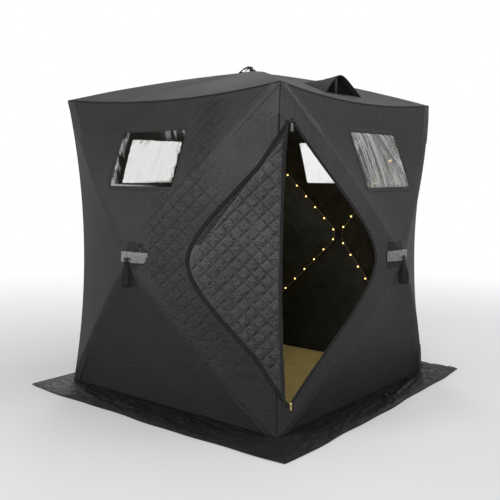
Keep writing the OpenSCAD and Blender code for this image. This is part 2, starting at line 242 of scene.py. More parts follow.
@dataclass(frozen=True)
class ClothGore:
    """One triangle of cloth between two pole lines, and how it lies flat on the cutting table."""

    first: BowedEdge
    last: BowedEdge
    bend: Spot
    cuts: tuple[tuple[float, float], tuple[float, float], tuple[float, float]]

    def shares(self, flat: Points) -> tuple[Points, Points, Points]:
        """Shares of flat places along the two pole lines.

        Args:
            flat: Rows of two flat coordinates.

        Returns:
            The share along the first pole line, the share along the last, and the distance to the nearer line.
        """
        hub, first, last = (np.array(c, float) for c in self.cuts)
        both = np.linalg.solve(np.stack([first - hub, last - hub], axis=1), (flat - hub).T)
        turn = abs(float(np.cross(first - hub, last - hub)))
        near = np.minimum(both[1] * turn / np.linalg.norm(first - hub), both[0] * turn / np.linalg.norm(last - hub))
        return both[0], both[1], near

    def skin(self, along: Points, across: Points) -> Points:
        """Outer face of the stretched cloth.

        Args:
            along: Shares from the hub to the far side.
            across: Shares from the first pole line to the last.

        Returns:
            Rows of x, y, z.
        """
        s, t = along[:, None], across[:, None]
        bend, out = np.array(self.bend, float), np.array(self.first.out, float)
        sag = s * s * bend - 4 * s * (1 - s) * SIZES.dip * out
        return (1 - t) * self.first.point(along) + t * self.last.point(along) + 4 * t * (1 - t) * sag


class StretchedSkin:
    """Outer face of the tent's cloth over flat coordinates, rounded over the hubs and along the pole lines."""

    drape_slope: float = 0.38
    drape_lift: float = 0.002
    drape_reach: float = 0.30
    blend: float = 0.012
    blend_lift: float = 0.003
    ridge_slope: float = 0.24
    ridge_width: float = 0.022
    swell_width: float = 0.075
    step: float = 0.0012

    def __init__(self, gores: Sequence[ClothGore]) -> None:
        """Keeps the gores of one wall or of the roof's front quarter."""
        self.gores = list(gores)

    def ridge(self, near: Points, along: Points, radius: Points) -> Points:
        """Height that rounds the fold over a pole.

        Args:
            near: Distance to the pole line.
            along: Share from the hub to the far side.
            radius: Distance to the hub.

        Returns:
            Heights, a little below zero on the line and above it beside it.
        """
        round_off = self.ridge_slope * (np.sqrt(near**2 + self.ridge_width**2) - near)
        swell = 0.8 * self.ridge_slope * self.ridge_width * bead(near, self.swell_width)
        return (swell - round_off) * smooth(0.06, 0.16, radius) * smooth(1.0, 0.92, along)

    def local(self, flat: Points) -> Points:
        """Outer face in the front wall's frame.

        Args:
            flat: Rows of flat coordinates in that frame.

        Returns:
            Rows of x, y, z.
        """
        both = [gore.shares(flat) for gore in self.gores]
        best = np.argmax([np.minimum(a, b) for a, b, _ in both], axis=0)
        out = np.array(self.gores[0].first.out, float)
        hub = np.array(self.gores[0].first.hub, float)
        radius = np.linalg.norm(flat - np.array(self.gores[0].cuts[0]), axis=1)
        result = np.empty((len(flat), 3))
        for index, (gore, (a, b, near)) in enumerate(zip(self.gores, both)):
            mine = best == index
            along = (a + b)[mine]
            across = np.divide(b[mine], along, out=np.full(len(along), 0.5), where=np.abs(along) > 1e-9)
            fold = self.ridge(np.maximum(near[mine], 0), along, radius[mine])
            result[mine] = gore.skin(along, np.clip(across, 0, 1)) + fold[:, None] * out
        height = (result - hub) @ out
        drape = self.drape_lift - self.drape_slope * np.maximum(radius - SIZES.hub_radius, 0)
        gap = np.maximum(self.blend - np.abs(height - drape), 0) / self.blend
        draped = np.maximum(height, drape) + gap * gap * self.blend_lift
        return result + np.where(radius < self.drape_reach, draped - height, 0)[:, None] * out

    def surface(self, flat: Points) -> Points:
        """Outer face in the frame of the hut; each kind of skin says how its flat coordinates go round."""
        raise NotImplementedError

    def normal(self, flat: Points) -> Points:
        """Outward unit normals at flat places.

        Args:
            flat: Rows of flat coordinates.

        Returns:
            Vectors of length 1.
        """
        east, north = np.array([self.step, 0]), np.array([0, self.step])
        across = self.surface(flat + east) - self.surface(flat - east)
        return unit(np.cross(across, self.surface(flat + north) - self.surface(flat - north)))

    def lift(self, flat: Points, height: Points | float) -> Points:
        """Points above the cloth.

        Args:
            flat: Rows of flat coordinates.
            height: Distance out of the cloth, one for all or one for each row.

        Returns:
            Rows of x, y, z.
        """
        tall = np.broadcast_to(np.asarray(height, float), (len(flat),))
        return self.surface(flat) + self.normal(flat) * tall[:, None]


class WallSkin(StretchedSkin):
    """The four walls unrolled: metres round the hut from the front wall's middle, and height."""

    def __init__(self) -> None:
        """Lays out the gores of one wall."""
        size = SIZES
        hub = (0.0, -size.half - size.hub_reach, size.hub_height)
        edges, cuts = {}, {}
        for side in (-1, 1):
            for level, height in enumerate((size.base, size.eave)):
                corner = (side * size.half, -size.half, height)
                edges[side, level] = BowedEdge(hub, corner, (0.0, -1.0, 0.0), size.wall_bow)
                cuts[side, level] = (side * size.half, height)
        pull = size.corner_pull
        plan = [
            ((-1, 1), (1, 1), (0.0, size.eave_pull, -size.eave_sag)),
            ((1, 1), (1, 0), (-pull, pull, 0.0)),
            ((1, 0), (-1, 0), (0.0, 0.0, 0.0)),
            ((-1, 0), (-1, 1), (pull, pull, 0.0)),
        ]
        middle = (0.0, size.hub_height)
        super().__init__([ClothGore(edges[a], edges[b], bend, (middle, cuts[a], cuts[b])) for a, b, bend in plan])
        self.edges = edges

    def surface(self, flat: Points) -> Points:
        """Outer face in the frame of the hut, at rows of metres round the hut and height."""
        wall = np.floor((flat[:, 0] + SIZES.half) / (2 * SIZES.half))
        return turned(self.local(stack(flat[:, 0] - wall * 2 * SIZES.half, flat[:, 1])), wall)

    def flatten(self, upright: Points) -> Points:
        """Flat places of the points of the front wall that have the given x and z.

        Args:
            upright: Rows of x and z.

        Returns:
            Rows of flat coordinates.
        """
        flat = upright.copy()
        for _ in range(12):
            flat = upright - (self.local(flat)[:, [0, 2]] - flat)
        return flat


class RoofSkin(StretchedSkin):
    """The roof over its plan: x and y."""

    ridge_slope: float = 0.16

    def __init__(self) -> None:
        """Lays out the front gore, which the others repeat."""
        size = SIZES
        hub = (0.0, 0.0, size.eave + size.roof_rise)
        corners = [(side * size.half, -size.half, size.eave) for side in (1, -1)]
        edges = [BowedEdge(hub, corner, (0.0, 0.0, 1.0), size.roof_bow) for corner in corners]
        cuts = ((0.0, 0.0), (size.half, -size.half), (-size.half, -size.half))
        super().__init__([ClothGore(edges[0], edges[1], (0.0, size.eave_pull, -size.eave_sag), cuts)])

    def surface(self, flat: Points) -> Points:
        """Outer face in the frame of the hut, at rows of x and y on the plan.

        Args:
            flat: Rows of flat coordinates.

        Returns:
            Rows of x, y, z.
        """
        angle = np.arctan2(flat[:, 1], flat[:, 0]) + math.pi / 2
        quarter = np.round(angle / (math.pi / 2))
        plan = stack(flat[:, 0], flat[:, 1], 0)
        return turned(self.local(turned(plan, -quarter)[:, :2]), quarter)


WALLS = WallSkin()
ROOF = RoofSkin()


class CreaseNoise:
    """Smooth random heights on a seeded lattice, the same in every run.

    Where it is used, factors of the coordinates are waves in a metre, and what is added to them gives each pattern
    a part of the lattice of its own.
    """

    size: int = 128

    def __init__(self, seed: Seed) -> None:
        """Fills the lattice."""
        self.lattice = np.random.default_rng(seed.value).random((self.size, self.size))

    def at(self, x: Points, y: Points) -> Points:
        """Heights from 0 to 1 with a lattice step of 1.

        Args:
            x: First coordinates.
            y: Second coordinates.

        Returns:
            The heights.
        """
        i, j = np.floor(x).astype(int), np.floor(y).astype(int)
        fx, fy = x - i, y - j
        fx, fy = fx * fx * (3 - 2 * fx), fy * fy * (3 - 2 * fy)
        table, m = self.lattice, self.size
        low = table[i % m, j % m] * (1 - fx) + table[(i + 1) % m, j % m] * fx
        high = table[i % m, (j + 1) % m] * (1 - fx) + table[(i + 1) % m, (j + 1) % m] * fx
        return low * (1 - fy) + high * fy

    def rough(self, x: Points, y: Points, octaves: int = 3) -> Points:
        """Heights from 0 to 1 in lattice steps, with each octave twice as fine as the one before."""
        layers = [self.at(x * 2**n + 17.3 * n, y * 2**n + 9.1 * n) / 2**n for n in range(octaves)]
        return sum(layers) / sum(0.5**n for n in range(octaves))

    def folds(self, x: Points, y: Points, octaves: int = 2) -> Points:
        """Heights from 0 to 1 with sharp crests, as on creased cloth."""
        return (1 - np.abs(2 * self.rough(x, y, octaves) - 1)) ** 3


class Bench:
    """Blender's modelling operators, called as a modeller does: one object, then edit mode, then modifiers."""

    @staticmethod
    def hold(*pieces: Thing) -> None:
        """Selects only these pieces and makes the first one active.

        Args:
            pieces: What is selected.
        """
        if bpy.context.mode != "OBJECT":
            bpy.ops.object.mode_set(mode="OBJECT")
        bpy.ops.object.select_all(action="DESELECT")
        for piece in pieces:
            piece.select_set(True)
        bpy.context.view_layer.objects.active = pieces[0] if pieces else None

    @staticmethod
    def edit(piece: Thing, everything: bool = True, kind: str = "FACE") -> None:
        """Opens a piece in edit mode.

        Args:
            piece: The piece to open.
            everything: Whether all of it is selected, or nothing.
            kind: What is selected from here on: VERT, EDGE or FACE.
        """
        Bench.hold(piece)
        bpy.ops.object.mode_set(mode="EDIT")
        bpy.ops.mesh.select_mode(type=kind)
        bpy.ops.mesh.select_all(action="SELECT" if everything else "DESELECT")

    @staticmethod
    def pick(piece: Thing, test: Callable[[bpy.types.MeshPolygon], bool]) -> None:
        """Opens a piece in edit mode with the faces selected that pass a test.

        Args:
            piece: The piece.
            test: What a face has to pass.
        """
        Bench.edit(piece, everything=False)
        Bench.close()
        for face in piece.data.polygons:
            face.select = test(face)
        bpy.ops.object.mode_set(mode="EDIT")

    @staticmethod
    def close() -> None:
        """Goes back to object mode."""
        bpy.ops.object.mode_set(mode="OBJECT")

    @staticmethod
    def start(name: str) -> Thing:
        """Names the primitive that was just added, puts its place into its mesh and returns it.

        Args:
            name: Its name.

        Returns:
            The primitive.
        """
        piece = bpy.context.object
        piece.name = piece.data.name = name
        bpy.ops.object.transform_apply(location=True, rotation=True, scale=True)
        return piece

    @staticmethod
    def grid(name: str, columns: int, rows: int) -> Thing:
        """Flat grid from -1 to 1 each way, with this many cells along X and Y.

        Args:
            name: Its name.
            columns: Number of cells along X.
            rows: Number of cells along Y.

        Returns:
            The grid.
        """
        Bench.hold()
        bpy.ops.mesh.primitive_grid_add(x_subdivisions=columns, y_subdivisions=rows, size=2)
        return Bench.start(name)

    @staticmethod
    def block(name: str, place: Points | Spot, size: Points | Spot, bevel: float, segments: int = 3) -> Thing:
        """Box with rounded edges.

        Args:
            name: Name of the piece.
            place: Its middle.
            size: Its width, depth and height.
            bevel: Width of the rounding.
            segments: Number of cells across the rounding.

        Returns:
            The piece.
        """
        Bench.hold()
        bpy.ops.mesh.primitive_cube_add(size=1, location=tuple(place), scale=tuple(size))
        piece = Bench.start(name)
        Bench.edit(piece)
        bpy.ops.mesh.bevel(offset=bevel, segments=segments, affect="EDGES")
        Bench.close()
        return piece

    @staticmethod
    def torus(
        name: str, radii: tuple[float, float], place: Spot, cells: tuple[int, int] = (20, 8), lean: float = 0.0
    ) -> Thing:
        """Ring of round section.

        Args:
            name: Name of the piece.
            radii: Radius of the ring and of its section.
            place: Its middle.
            cells: Number of cells round the ring and round its section.
            lean: Angle about Y by which it is turned.

        Returns:
            The piece.
        """
        (wide, thin), (round_ring, round_section) = radii, cells
        Bench.hold()
        bpy.ops.mesh.primitive_torus_add(
            major_radius=wide,
            minor_radius=thin,
            major_segments=round_ring,
            minor_segments=round_section,
            location=place,
            rotation=(0, lean, 0),
        )
        return Bench.start(name)

    @staticmethod
    def rod(
        name: str, sides: int, radius: float, length: float, place: Spot = (0, 0, 0), lean: float = 0.0
    ) -> Thing:
        """Round rod.

        Args:
            name: Name of the piece.
            sides: Number of cells round it.
            radius: Its radius.
            length: Its length.
            place: Its middle.
            lean: Angle about Y by which it is turned, upright at 0.

        Returns:
            The piece.
        """
        Bench.hold()
        bpy.ops.mesh.primitive_cylinder_add(
            vertices=sides, radius=radius, depth=length, location=place, rotation=(0, lean, 0)
        )
        return Bench.start(name)

    @staticmethod
    def points(piece: Thing) -> Points:
        """Places of a piece's vertices.

        Args:
            piece: The piece.

        Returns:
            Rows of x, y, z.
        """
        flat = np.empty(3 * len(piece.data.vertices))
        piece.data.vertices.foreach_get("co", flat)
        return flat.reshape(-1, 3)

    @staticmethod
    def move(piece: Thing, places: Points) -> None:
        """Moves a piece's vertices to places of the same order."""
        piece.data.vertices.foreach_set("co", np.ascontiguousarray(places, float).ravel())
        piece.data.update()

    @staticmethod
    def map_cloth(piece: Thing, flat: Points) -> None:
        """Writes flat places in metres, one for each vertex, to the piece's UV map "cloth".

        Args:
            piece: The piece.
            flat: Rows of flat coordinates, one for each vertex.
        """
        mesh = piece.data
        while mesh.uv_layers:
            mesh.uv_layers.remove(mesh.uv_layers[0])
        layer = mesh.uv_layers.new(name="cloth")
        corner = np.empty(len(mesh.loops), dtype=np.int32)
        mesh.loops.foreach_get("vertex_index", corner)
        layer.data.foreach_set("uv", np.ascontiguousarray(flat[corner], np.float32).ravel())

    @staticmethod
    def note(piece: Thing, **marks: Points) -> None:
        """Writes numbers for each vertex to attributes that materials read.

        Args:
            piece: The piece.
            marks: Numbers for each vertex, by the attribute's name.
        """
        for name, values in marks.items():
            mark = piece.data.attributes.new(name, "FLOAT", "POINT")
            mark.data.foreach_set("value", np.ascontiguousarray(values, np.float32))

    @staticmethod
    def apply(piece: Thing, kind: str, **values: object) -> None:
        """Adds a modifier of a type, sets it and applies it.

        Args:
            piece: The piece.
            kind: Type of the modifier.
            values: Its settings.
        """
        Bench.hold(piece)
        modifier = piece.modifiers.new(kind.title(), kind)
        for key, value in values.items():
            setattr(modifier, key, value)
        bpy.ops.object.modifier_apply(modifier=modifier.name)

    @staticmethod
    def thicken(piece: Thing, thick: float, outward: bool = False, lining: bool = False) -> None:
        """Gives a sheet its thickness.

        Args:
            piece: The sheet.
            thick: Thickness in metres.
            outward: Whether it grows out of the sheet's face instead of in behind it.
            lining: Whether the inner face takes the second material slot.
        """
        Bench.apply(piece, "SOLIDIFY", thickness=thick, offset=1.0 if outward else -1.0, material_offset=int(lining))

    @staticmethod
    def soften(piece: Thing, edges: Crisp = Crisp.CLOTH) -> None:
        """Shades a piece smooth, apart from edges that are sharper than the angle."""
        Bench.hold(piece)
        bpy.ops.object.shade_smooth_by_angle(angle=math.radians(edges.value))

    @staticmethod
    def weld(piece: Thing, distance: float) -> None:
        """Merges a piece's vertices that lie within a distance.

        Args:
            piece: The piece.
            distance: Largest distance in metres.
        """
        Bench.edit(piece, kind="VERT")
        bpy.ops.mesh.remove_doubles(threshold=distance)
        Bench.close()

    @staticmethod
    def join(name: str, pieces: Sequence[Thing]) -> Thing:
        """Joins pieces into the first one and names it.

        Args:
            name: Its name.
            pieces: What is joined.

        Returns:
            The joined piece.
        """
        Bench.hold(*pieces)
        if len(pieces) > 1:
            bpy.ops.object.join()
        piece = bpy.context.object
        piece.name = piece.data.name = name
        return piece

    @staticmethod
    def copy(piece: Thing, name: str, places: Points) -> Thing:
        """Copy of a piece with its own mesh, whose vertices lie at new places.

        Args:
            piece: The piece.
            name: Name of the copy.
            places: Rows of x, y, z, one for each vertex.

        Returns:
            The copy.
        """
        twin = piece.copy()
        twin.data = piece.data.copy()
        twin.name = twin.data.name = name
        bpy.context.scene.collection.objects.link(twin)
        Bench.move(twin, places)
        return twin

    @staticmethod
    def outward(piece: Thing) -> None:
        """Turns all faces outward.

        Args:
            piece: The piece.
        """
        Bench.edit(piece)
        bpy.ops.mesh.normals_make_consistent(inside=False)
        Bench.close()

    @staticmethod
    def face_towards(piece: Thing, way: Points) -> None:
        """Flips an open sheet if most of it faces against a direction.

        Args:
            piece: The sheet.
            way: The direction.
        """
        normals, areas = np.empty(3 * len(piece.data.polygons)), np.empty(len(piece.data.polygons))
        piece.data.polygons.foreach_get("normal", normals)
        piece.data.polygons.foreach_get("area", areas)
        if (normals.reshape(-1, 3) @ np.asarray(way, float)) @ areas < 0:
            Bench.edit(piece)
            bpy.ops.mesh.flip_normals()
            Bench.close()

    @staticmethod
    def dress(piece: Thing, *finishes: Material) -> None:
        """Gives a piece its materials in the order of its slots.

        Args:
            piece: The piece.
            finishes: Its materials.
        """
        piece.data.materials.clear()
        for finish in finishes:
            piece.data.materials.append(finish)


def ride(piece: Thing, slot: str, *nodes: str) -> Thing:
    """Puts a piece on the hut, hides the CAD nodes that it stands for and logs its number of faces.

    Args:
        piece: The piece.
        slot: Name of the material slot; not used.
        nodes: CAD nodes that it replaces.

    Returns:
        The piece.
    """
    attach(piece, "root")
    if nodes:
        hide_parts(*nodes)
    log.info("%s: %d faces", piece.name, len(piece.data.polygons))
    return piece


class NodeDesk:
    """A material's nodes, with short calls that add one and join it."""

    def __init__(self, name: str) -> None:
        """Starts a material with its plain shader.

        Args:
            name: Its name.
        """
        self.material = bpy.data.materials.new(name)
        self.material.use_nodes = True
        self.tree = self.material.node_tree
        self.shader = self.tree.nodes["Principled BSDF"]

    def add(self, kind: str, **values: object) -> bpy.types.Node:
        """Adds a node by its type name without the ShaderNode start, and sets its properties.

        Args:
            kind: Type name.
            values: Its properties.

        Returns:
            The node.
        """
        node = self.tree.nodes.new(f"ShaderNode{kind}")
        for key, value in values.items():
            setattr(node, key, value)
        return node

    def feed(self, socket: Socket, value: object) -> None:
        """Joins a socket to another, or sets it to a value.

        Args:
            socket: The input.
            value: A socket, a colour or a number.
        """
        if isinstance(value, Socket):
            self.tree.links.new(value, socket)
        elif isinstance(value, tuple) and len(value) == 3 and len(socket.default_value) == 4:
            socket.default_value = (*value, 1.0)
        else:
            socket.default_value = value

    def math(self, operation: str, *values: object) -> Socket:
        """Result of one of Blender's sums on sockets or numbers.

        Args:
            operation: Name of the sum.
            values: Sockets or numbers.

        Returns:
            The result's socket.
        """
        node = self.add("Math", operation=operation)
        for socket, value in zip(node.inputs, values):
            self.feed(socket, value)
        return node.outputs[0]

    def weigh(self, *terms: tuple[object, float]) -> Socket:
        """Sum of values, each times its weight.

        Args:
            terms: Pairs of a value and its weight.

        Returns:
            The sum's socket.
        """
        first, *others = (self.math("MULTIPLY", value, weight) for value, weight in terms)
        for other in others:
            first = self.math("ADD", first, other)
        return first

    def blend(self, share: object, low: object, high: object) -> Socket:
        """Colour between two others.

        Args:
            share: Share of the second colour.
            low: Colour at 0.
            high: Colour at 1.

        Returns:
            The colour's socket.
        """
        node = self.add("Mix", data_type="RGBA")
        for index, value in ((0, share), (6, low), (7, high)):
            self.feed(node.inputs[index], value)
        return node.outputs[2]

    def span(
        self, value: object, low: float, high: float, to_low: float = 0.0, to_high: float = 1.0
    ) -> Socket:
        """Value mapped smoothly from one range to another.

        Args:
            value: What is mapped.
            low: Start of its range.
            high: End of its range.
            to_low: Result at the start.
            to_high: Result at the end.

        Returns:
            The result's socket.
        """
        node = self.add("MapRange", interpolation_type="SMOOTHSTEP")
        for socket, number in zip(node.inputs, (value, low, high, to_low, to_high)):
            self.feed(socket, number)
        return node.outputs[0]

    def shades(
        self, value: object, low: float, high: float, colour: Colour, dark: float, light: float
    ) -> Socket:
        """Colour that goes from darker to lighter with a value.

        Args:
            value: What it follows.
            low: Value of the darkest shade.
            high: Value of the lightest one.
            colour: The middle colour.
            dark: Factor of the darkest shade.
            light: Factor of the lightest one.

        Returns:
            The colour's socket.
        """
        ends = [tuple(min(1.0, c * factor) for c in colour) for factor in (dark, light)]
        return self.blend(self.span(value, low, high), *ends)

    def mark(self, name: str) -> Socket:
        """Number that the piece carries under a name."""
        return self.add("Attribute", attribute_name=name).outputs["Fac"]

    def cloth_map(self) -> Socket:
        """The piece's own map of flat metres."""
        return self.add("UVMap", uv_map="cloth").outputs[0]

    def place(self) -> Socket:
        """Object coordinates."""
        return self.add("TexCoord").outputs["Object"]

    def parts(self, where: Socket) -> tuple[Socket, Socket]:
        """First and second coordinate.

        Args:
            where: Coordinates.

        Returns:
            Their sockets.
        """
        split = self.add("SeparateXYZ")
        self.feed(split.inputs[0], where)
        return split.outputs[0], split.outputs[1]

    def noise(
        self, where: Socket, scale: float | Spot, detail: float = 2.0, rough: float = 0.5, turn: float = 0.0
    ) -> Socket:
        """Smooth noise from 0 to 1.

        Args:
            where: Coordinates.
            scale: Waves in a metre, for all axes or for each.
            detail: Number of finer layers.
            rough: Weight of the finer layers.
            turn: Angle about Z in degrees by which the coordinates are turned first.

        Returns:
            The noise's socket.
        """
        if isinstance(scale, tuple):
            node = self.add("Mapping")
            self.feed(node.inputs["Vector"], where)
            node.inputs["Rotation"].default_value = (0, 0, math.radians(turn))
            node.inputs["Scale"].default_value = scale
            where, scale = node.outputs[0], 1.0
        node = self.add("TexNoise")
        self.feed(node.inputs["Vector"], where)
        for key, value in (("Scale", scale), ("Detail", detail), ("Roughness", rough)):
            node.inputs[key].default_value = value
        return node.outputs[0]

    def crests(self, noise: Socket, width: float) -> Socket:
        """Thin winding lines where a noise passes its middle value."""
        return self.span(self.math("PINGPONG", noise, 0.5), 0.5 - width, 0.5)

    def bump(self, height: Socket, metres: float, under: Socket | None = None) -> Socket:
        """Surface normal from a height.

        Args:
            height: Height from 0 to 1.
            metres: What a height of 1 is in metres.
            under: Normal that it is laid on, if any.

        Returns:
            The normal's socket.
        """
        node = self.add("Bump")
        node.inputs["Strength"].default_value = 1.0
        node.inputs["Distance"].default_value = metres
        self.feed(node.inputs["Height"], height)
        if under is not None:
            self.feed(node.inputs["Normal"], under)
        return node.outputs[0]

    def finish(self, **values: object) -> Material:
        """Sets the shader's sockets, with _ for a space in a name, and returns the material.

        Args:
            values: Sockets, colours or numbers, by the shader's socket.

        Returns:
            The material.
        """
        for key, value in values.items():
            self.feed(self.shader.inputs[key.replace("_", " ")], value)
        return self.material


@dataclass(frozen=True)
class ClothFinish:
    """Coated polyester cloth: quilting stitches with puckers, crinkles, faint streaks and a fine weave, with painted
    shade from the attribute "shade" and on the stitch lines.

    Attributes:
        name: Name of the material.
        colour: Colour of the cloth.
        light: Factor of its lightest blotches.
        dark: Factor of its darkest blotches.
        low: Factor of the colour where the painted shade, the attribute "shade", is 1.
        quilt: Strength of the stitches, of the painted shade and highlight on them, and of the puckers.
        crinkle: Height of the crinkles in metres.
        streak: Strength of upright streaks.
        roughness: Roughness of the coating.
        specular: Gloss of the coating.
        wrinkles: Waves in a metre and angle in degrees of each set of crinkles.
    """

    name: str
    colour: Colour
    light: float = 1.24
    dark: float = 0.78
    low: float = 0.30
    quilt: float = 1.0
    crinkle: float = 0.0018
    streak: float = 0.12
    roughness: float = 0.70
    specular: float = 0.10
    wrinkles: tuple[tuple[Spot, float], ...] = (
        ((16.0, 58.0, 1.0), 42),
        ((22.0, 52.0, 1.0), -48),
        ((14.0, 60.0, 1.0), 4),
    )

    def stitching(self, desk: NodeDesk, where: Socket) -> tuple[Socket, Socket]:
        """Stitch lines and the puckers that the thread draws beside them.

        Args:
            desk: The material's nodes.
            where: The flat map.

        Returns:
            How near a stitch is, and the height of the puckers, both from 0 to 1.
        """
        east, north = desk.parts(where)
        across = desk.math("SUBTRACT", east, SIZES.half)
        above = desk.math("SUBTRACT", north, SIZES.hub_height)
        wobble = desk.math("MULTIPLY", desk.noise(where, 14, 1.0), 0.06)
        phases = []
        for operation in ("ADD", "SUBTRACT"):
            phase = desk.math("DIVIDE", desk.math(operation, across, above), SIZES.diamond)
            phases.append(desk.math("ADD", phase, wobble))
        loose = desk.math("MULTIPLY", desk.noise(where, 22, 2.0), 2.4)
        lines, puckers = [], []
        for mine, other in (phases, phases[::-1]):
            near = desk.math("PINGPONG", mine, 0.5)
            lines.append(desk.span(near, 0.0, 0.060, 1.0, 0.0))
            wave = desk.math("PINGPONG", desk.math("ADD", desk.math("MULTIPLY", other, 3.4), loose), 0.5)
            puckers.append(desk.math("MULTIPLY", wave, desk.span(near, 0.03, 0.30, 2.0, 0.0)))
        return desk.math("MAXIMUM", *lines), desk.math("MAXIMUM", *puckers)

    def make(self) -> Material:
        """Builds the material, on the map "cloth" and the attributes "quilt" and "shade", which carries painted shade.

        Returns:
            The material.
        """
        desk = NodeDesk(self.name)
        where = desk.cloth_map()
        strength = desk.mark("quilt")
        streaks = desk.noise(where, (55.0, 4.0, 1.0), 3.0, 0.6)
        blotches, specks = desk.noise(where, 4.0, 4.0), desk.noise(where, 90, 3.0, 0.6)
        shade = desk.weigh((blotches, 0.5), (specks, 0.4), (streaks, self.streak * 2))
        colour = desk.shades(shade, 0.25, 0.75 + self.streak, self.colour, self.dark, self.light)
        normal = desk.bump(desk.noise(where, 900, 1.0), 0.00012)
        active = desk.math("ADD", desk.math("MULTIPLY", strength, 0.60), 0.40)
        for scale, turn in self.wrinkles:
            crest = desk.crests(desk.noise(where, scale, 3.0, 0.6, turn), 0.20)
            normal = desk.bump(desk.math("MULTIPLY", crest, active), self.crinkle, normal)
        normal = desk.bump(desk.noise(where, 70, 4.0, 0.6), self.crinkle * 0.6, normal)
        normal = desk.bump(desk.math("MULTIPLY", streaks, self.streak * 4), 0.0010, normal)
        if self.quilt:
            seam, pucker = self.stitching(desk, where)
            seam = desk.math("MULTIPLY", seam, desk.math("MULTIPLY", strength, self.quilt))
            normal = desk.bump(desk.math("MULTIPLY", pucker, strength), 0.0011 * self.quilt, normal)
            normal = desk.bump(desk.math("SUBTRACT", 1.0, seam), 0.0018 * self.quilt, normal)
            # Painted shade: the attribute "shade" darkens the colour towards low. The stitch lines are painted darker,
            # painted shade in their creases, and where the painted shade is deepest they are painted lighter, a painted
            # highlight where they catch light.
            dim = desk.mark("shade")
            lower = desk.add("Mix", data_type="RGBA", blend_type="MULTIPLY")
            for index, value in ((0, dim), (6, colour), (7, (self.low,) * 3)):
                desk.feed(lower.inputs[index], value)
            thread = desk.blend(dim, *(tuple(c * share for c in self.colour) for share in (0.36, 0.72)))
            colour = desk.blend(desk.math("MULTIPLY", seam, 0.50), lower.outputs[2], thread)
        return desk.finish(Base_Color=colour, Roughness=self.roughness, Specular_IOR_Level=self.specular, Normal=normal)


@dataclass(frozen=True)
class PlainClothFinish:
    """Smooth cloth with woven ribs and worn lighter patches, such as lining, binding tape and webbing."""

    name: str
    colour: Colour
    rib: float = 600.0
    rib_height: float = 0.00025
    worn: float = 1.6
    roughness: float = 0.75
    specular: float = 0.15

    def make(self) -> Material:
        """Builds the material, on Object coordinates.

        Returns:
            The material.
        """
        desk = NodeDesk(self.name)
        where = desk.place()
        fine = desk.noise(where, self.rib, 1.0)
        shade = desk.weigh((desk.noise(where, 9.0, 3.0), 0.7), (fine, 0.3))
        normal = desk.bump(desk.noise(where, 45, 3.0), 0.0012, desk.bump(fine, self.rib_height))
        colour = desk.shades(shade, 0.3, 0.7, self.colour, 0.75, self.worn)
        return desk.finish(Base_Color=colour, Roughness=self.roughness, Specular_IOR_Level=self.specular, Normal=normal)


@dataclass(frozen=True)
class HardFinish:
    """Moulded plastic or metal with fine grain, handling marks and uneven gloss."""

    name: str
    colour: Colour
    metallic: float = 0.0
    roughness: float = 0.42
    specular: float = 0.4

    def make(self) -> Material:
        """Builds the material, on Object coordinates.

        Returns:
            The material.
        """
        desk = NodeDesk(self.name)
        where = desk.place()
        return desk.finish(
            Base_Color=desk.shades(desk.noise(where, 60, 4.0, 0.6), 0.35, 0.7, self.colour, 0.82, 1.25),
            Metallic=self.metallic,
            Roughness=desk.span(desk.noise(where, 25, 3.0), 0.3, 0.7, self.roughness * 0.8, self.roughness * 1.25),
            Specular_IOR_Level=self.specular,
            Normal=desk.bump(desk.noise(where, 700, 2.0), 0.0002),
        )


@dataclass(frozen=True)
class VinylFinish:
    """Clear window vinyl with cloudy folds, whose milky colour is partly the vinyl's own haze and partly painted glare,
    and fine scratches.
    """

    name: str
    cloud_colour: Colour
    ior: float = 1.2
    roughness: float = 0.03
    tint: Colour = (0.87, 0.875, 0.87)

    def make(self) -> Material:
        """Builds the material, on the map "cloth" and the attribute that carries the milky haze and painted glare.

        Returns:
            The material.
        """
        desk = NodeDesk(self.name)
        where = desk.cloth_map()
        haze = desk.span(desk.noise(where, (30.0, 6.0, 1.0), 3.0, turn=8), 0.25, 0.75, 0.6, 1.0)
        # Milky share: partly the vinyl's own cloudiness, partly painted glare on its folds.
        cloudy = desk.math("MULTIPLY", desk.mark("cloud"), haze)
        scratch = desk.noise(where, (8.0, 160.0, 1.0), 3.0, turn=40)
        return desk.finish(
            Base_Color=desk.blend(cloudy, self.tint, self.cloud_colour),
            Transmission_Weight=desk.math("SUBTRACT", 1.0, cloudy),
            Roughness=desk.span(scratch, 0.45, 0.75, self.roughness, self.roughness * 2.5),
            IOR=self.ior,
            Normal=desk.bump(desk.noise(where, 25, 2.0), 0.0004),
        )


@dataclass(frozen=True)
class ZipFinish:
    """Zip chain: glossy coil with fine teeth across it, with a painted highlight on the tooth crests."""

    name: str = "zip coil"
    colour: Colour = (0.0070, 0.0070, 0.0072)
    tooth: float = 0.0030

    def make(self) -> Material:
        """Builds the material, on the map "cloth", whose first coordinate runs along the zip.

        Returns:
            The material.
        """
        desk = NodeDesk(self.name)
        teeth = desk.math("PINGPONG", desk.math("DIVIDE", desk.parts(desk.cloth_map())[0], self.tooth), 0.5)
        # The tooth crests are painted lighter: a painted highlight on the coil.
        return desk.finish(
            Base_Color=desk.shades(teeth, 0.05, 0.4, self.colour, 1.0, 2.2),
            Roughness=0.45,
            Specular_IOR_Level=0.3,
            Normal=desk.bump(desk.span(teeth, 0.05, 0.4), 0.0010),
        )


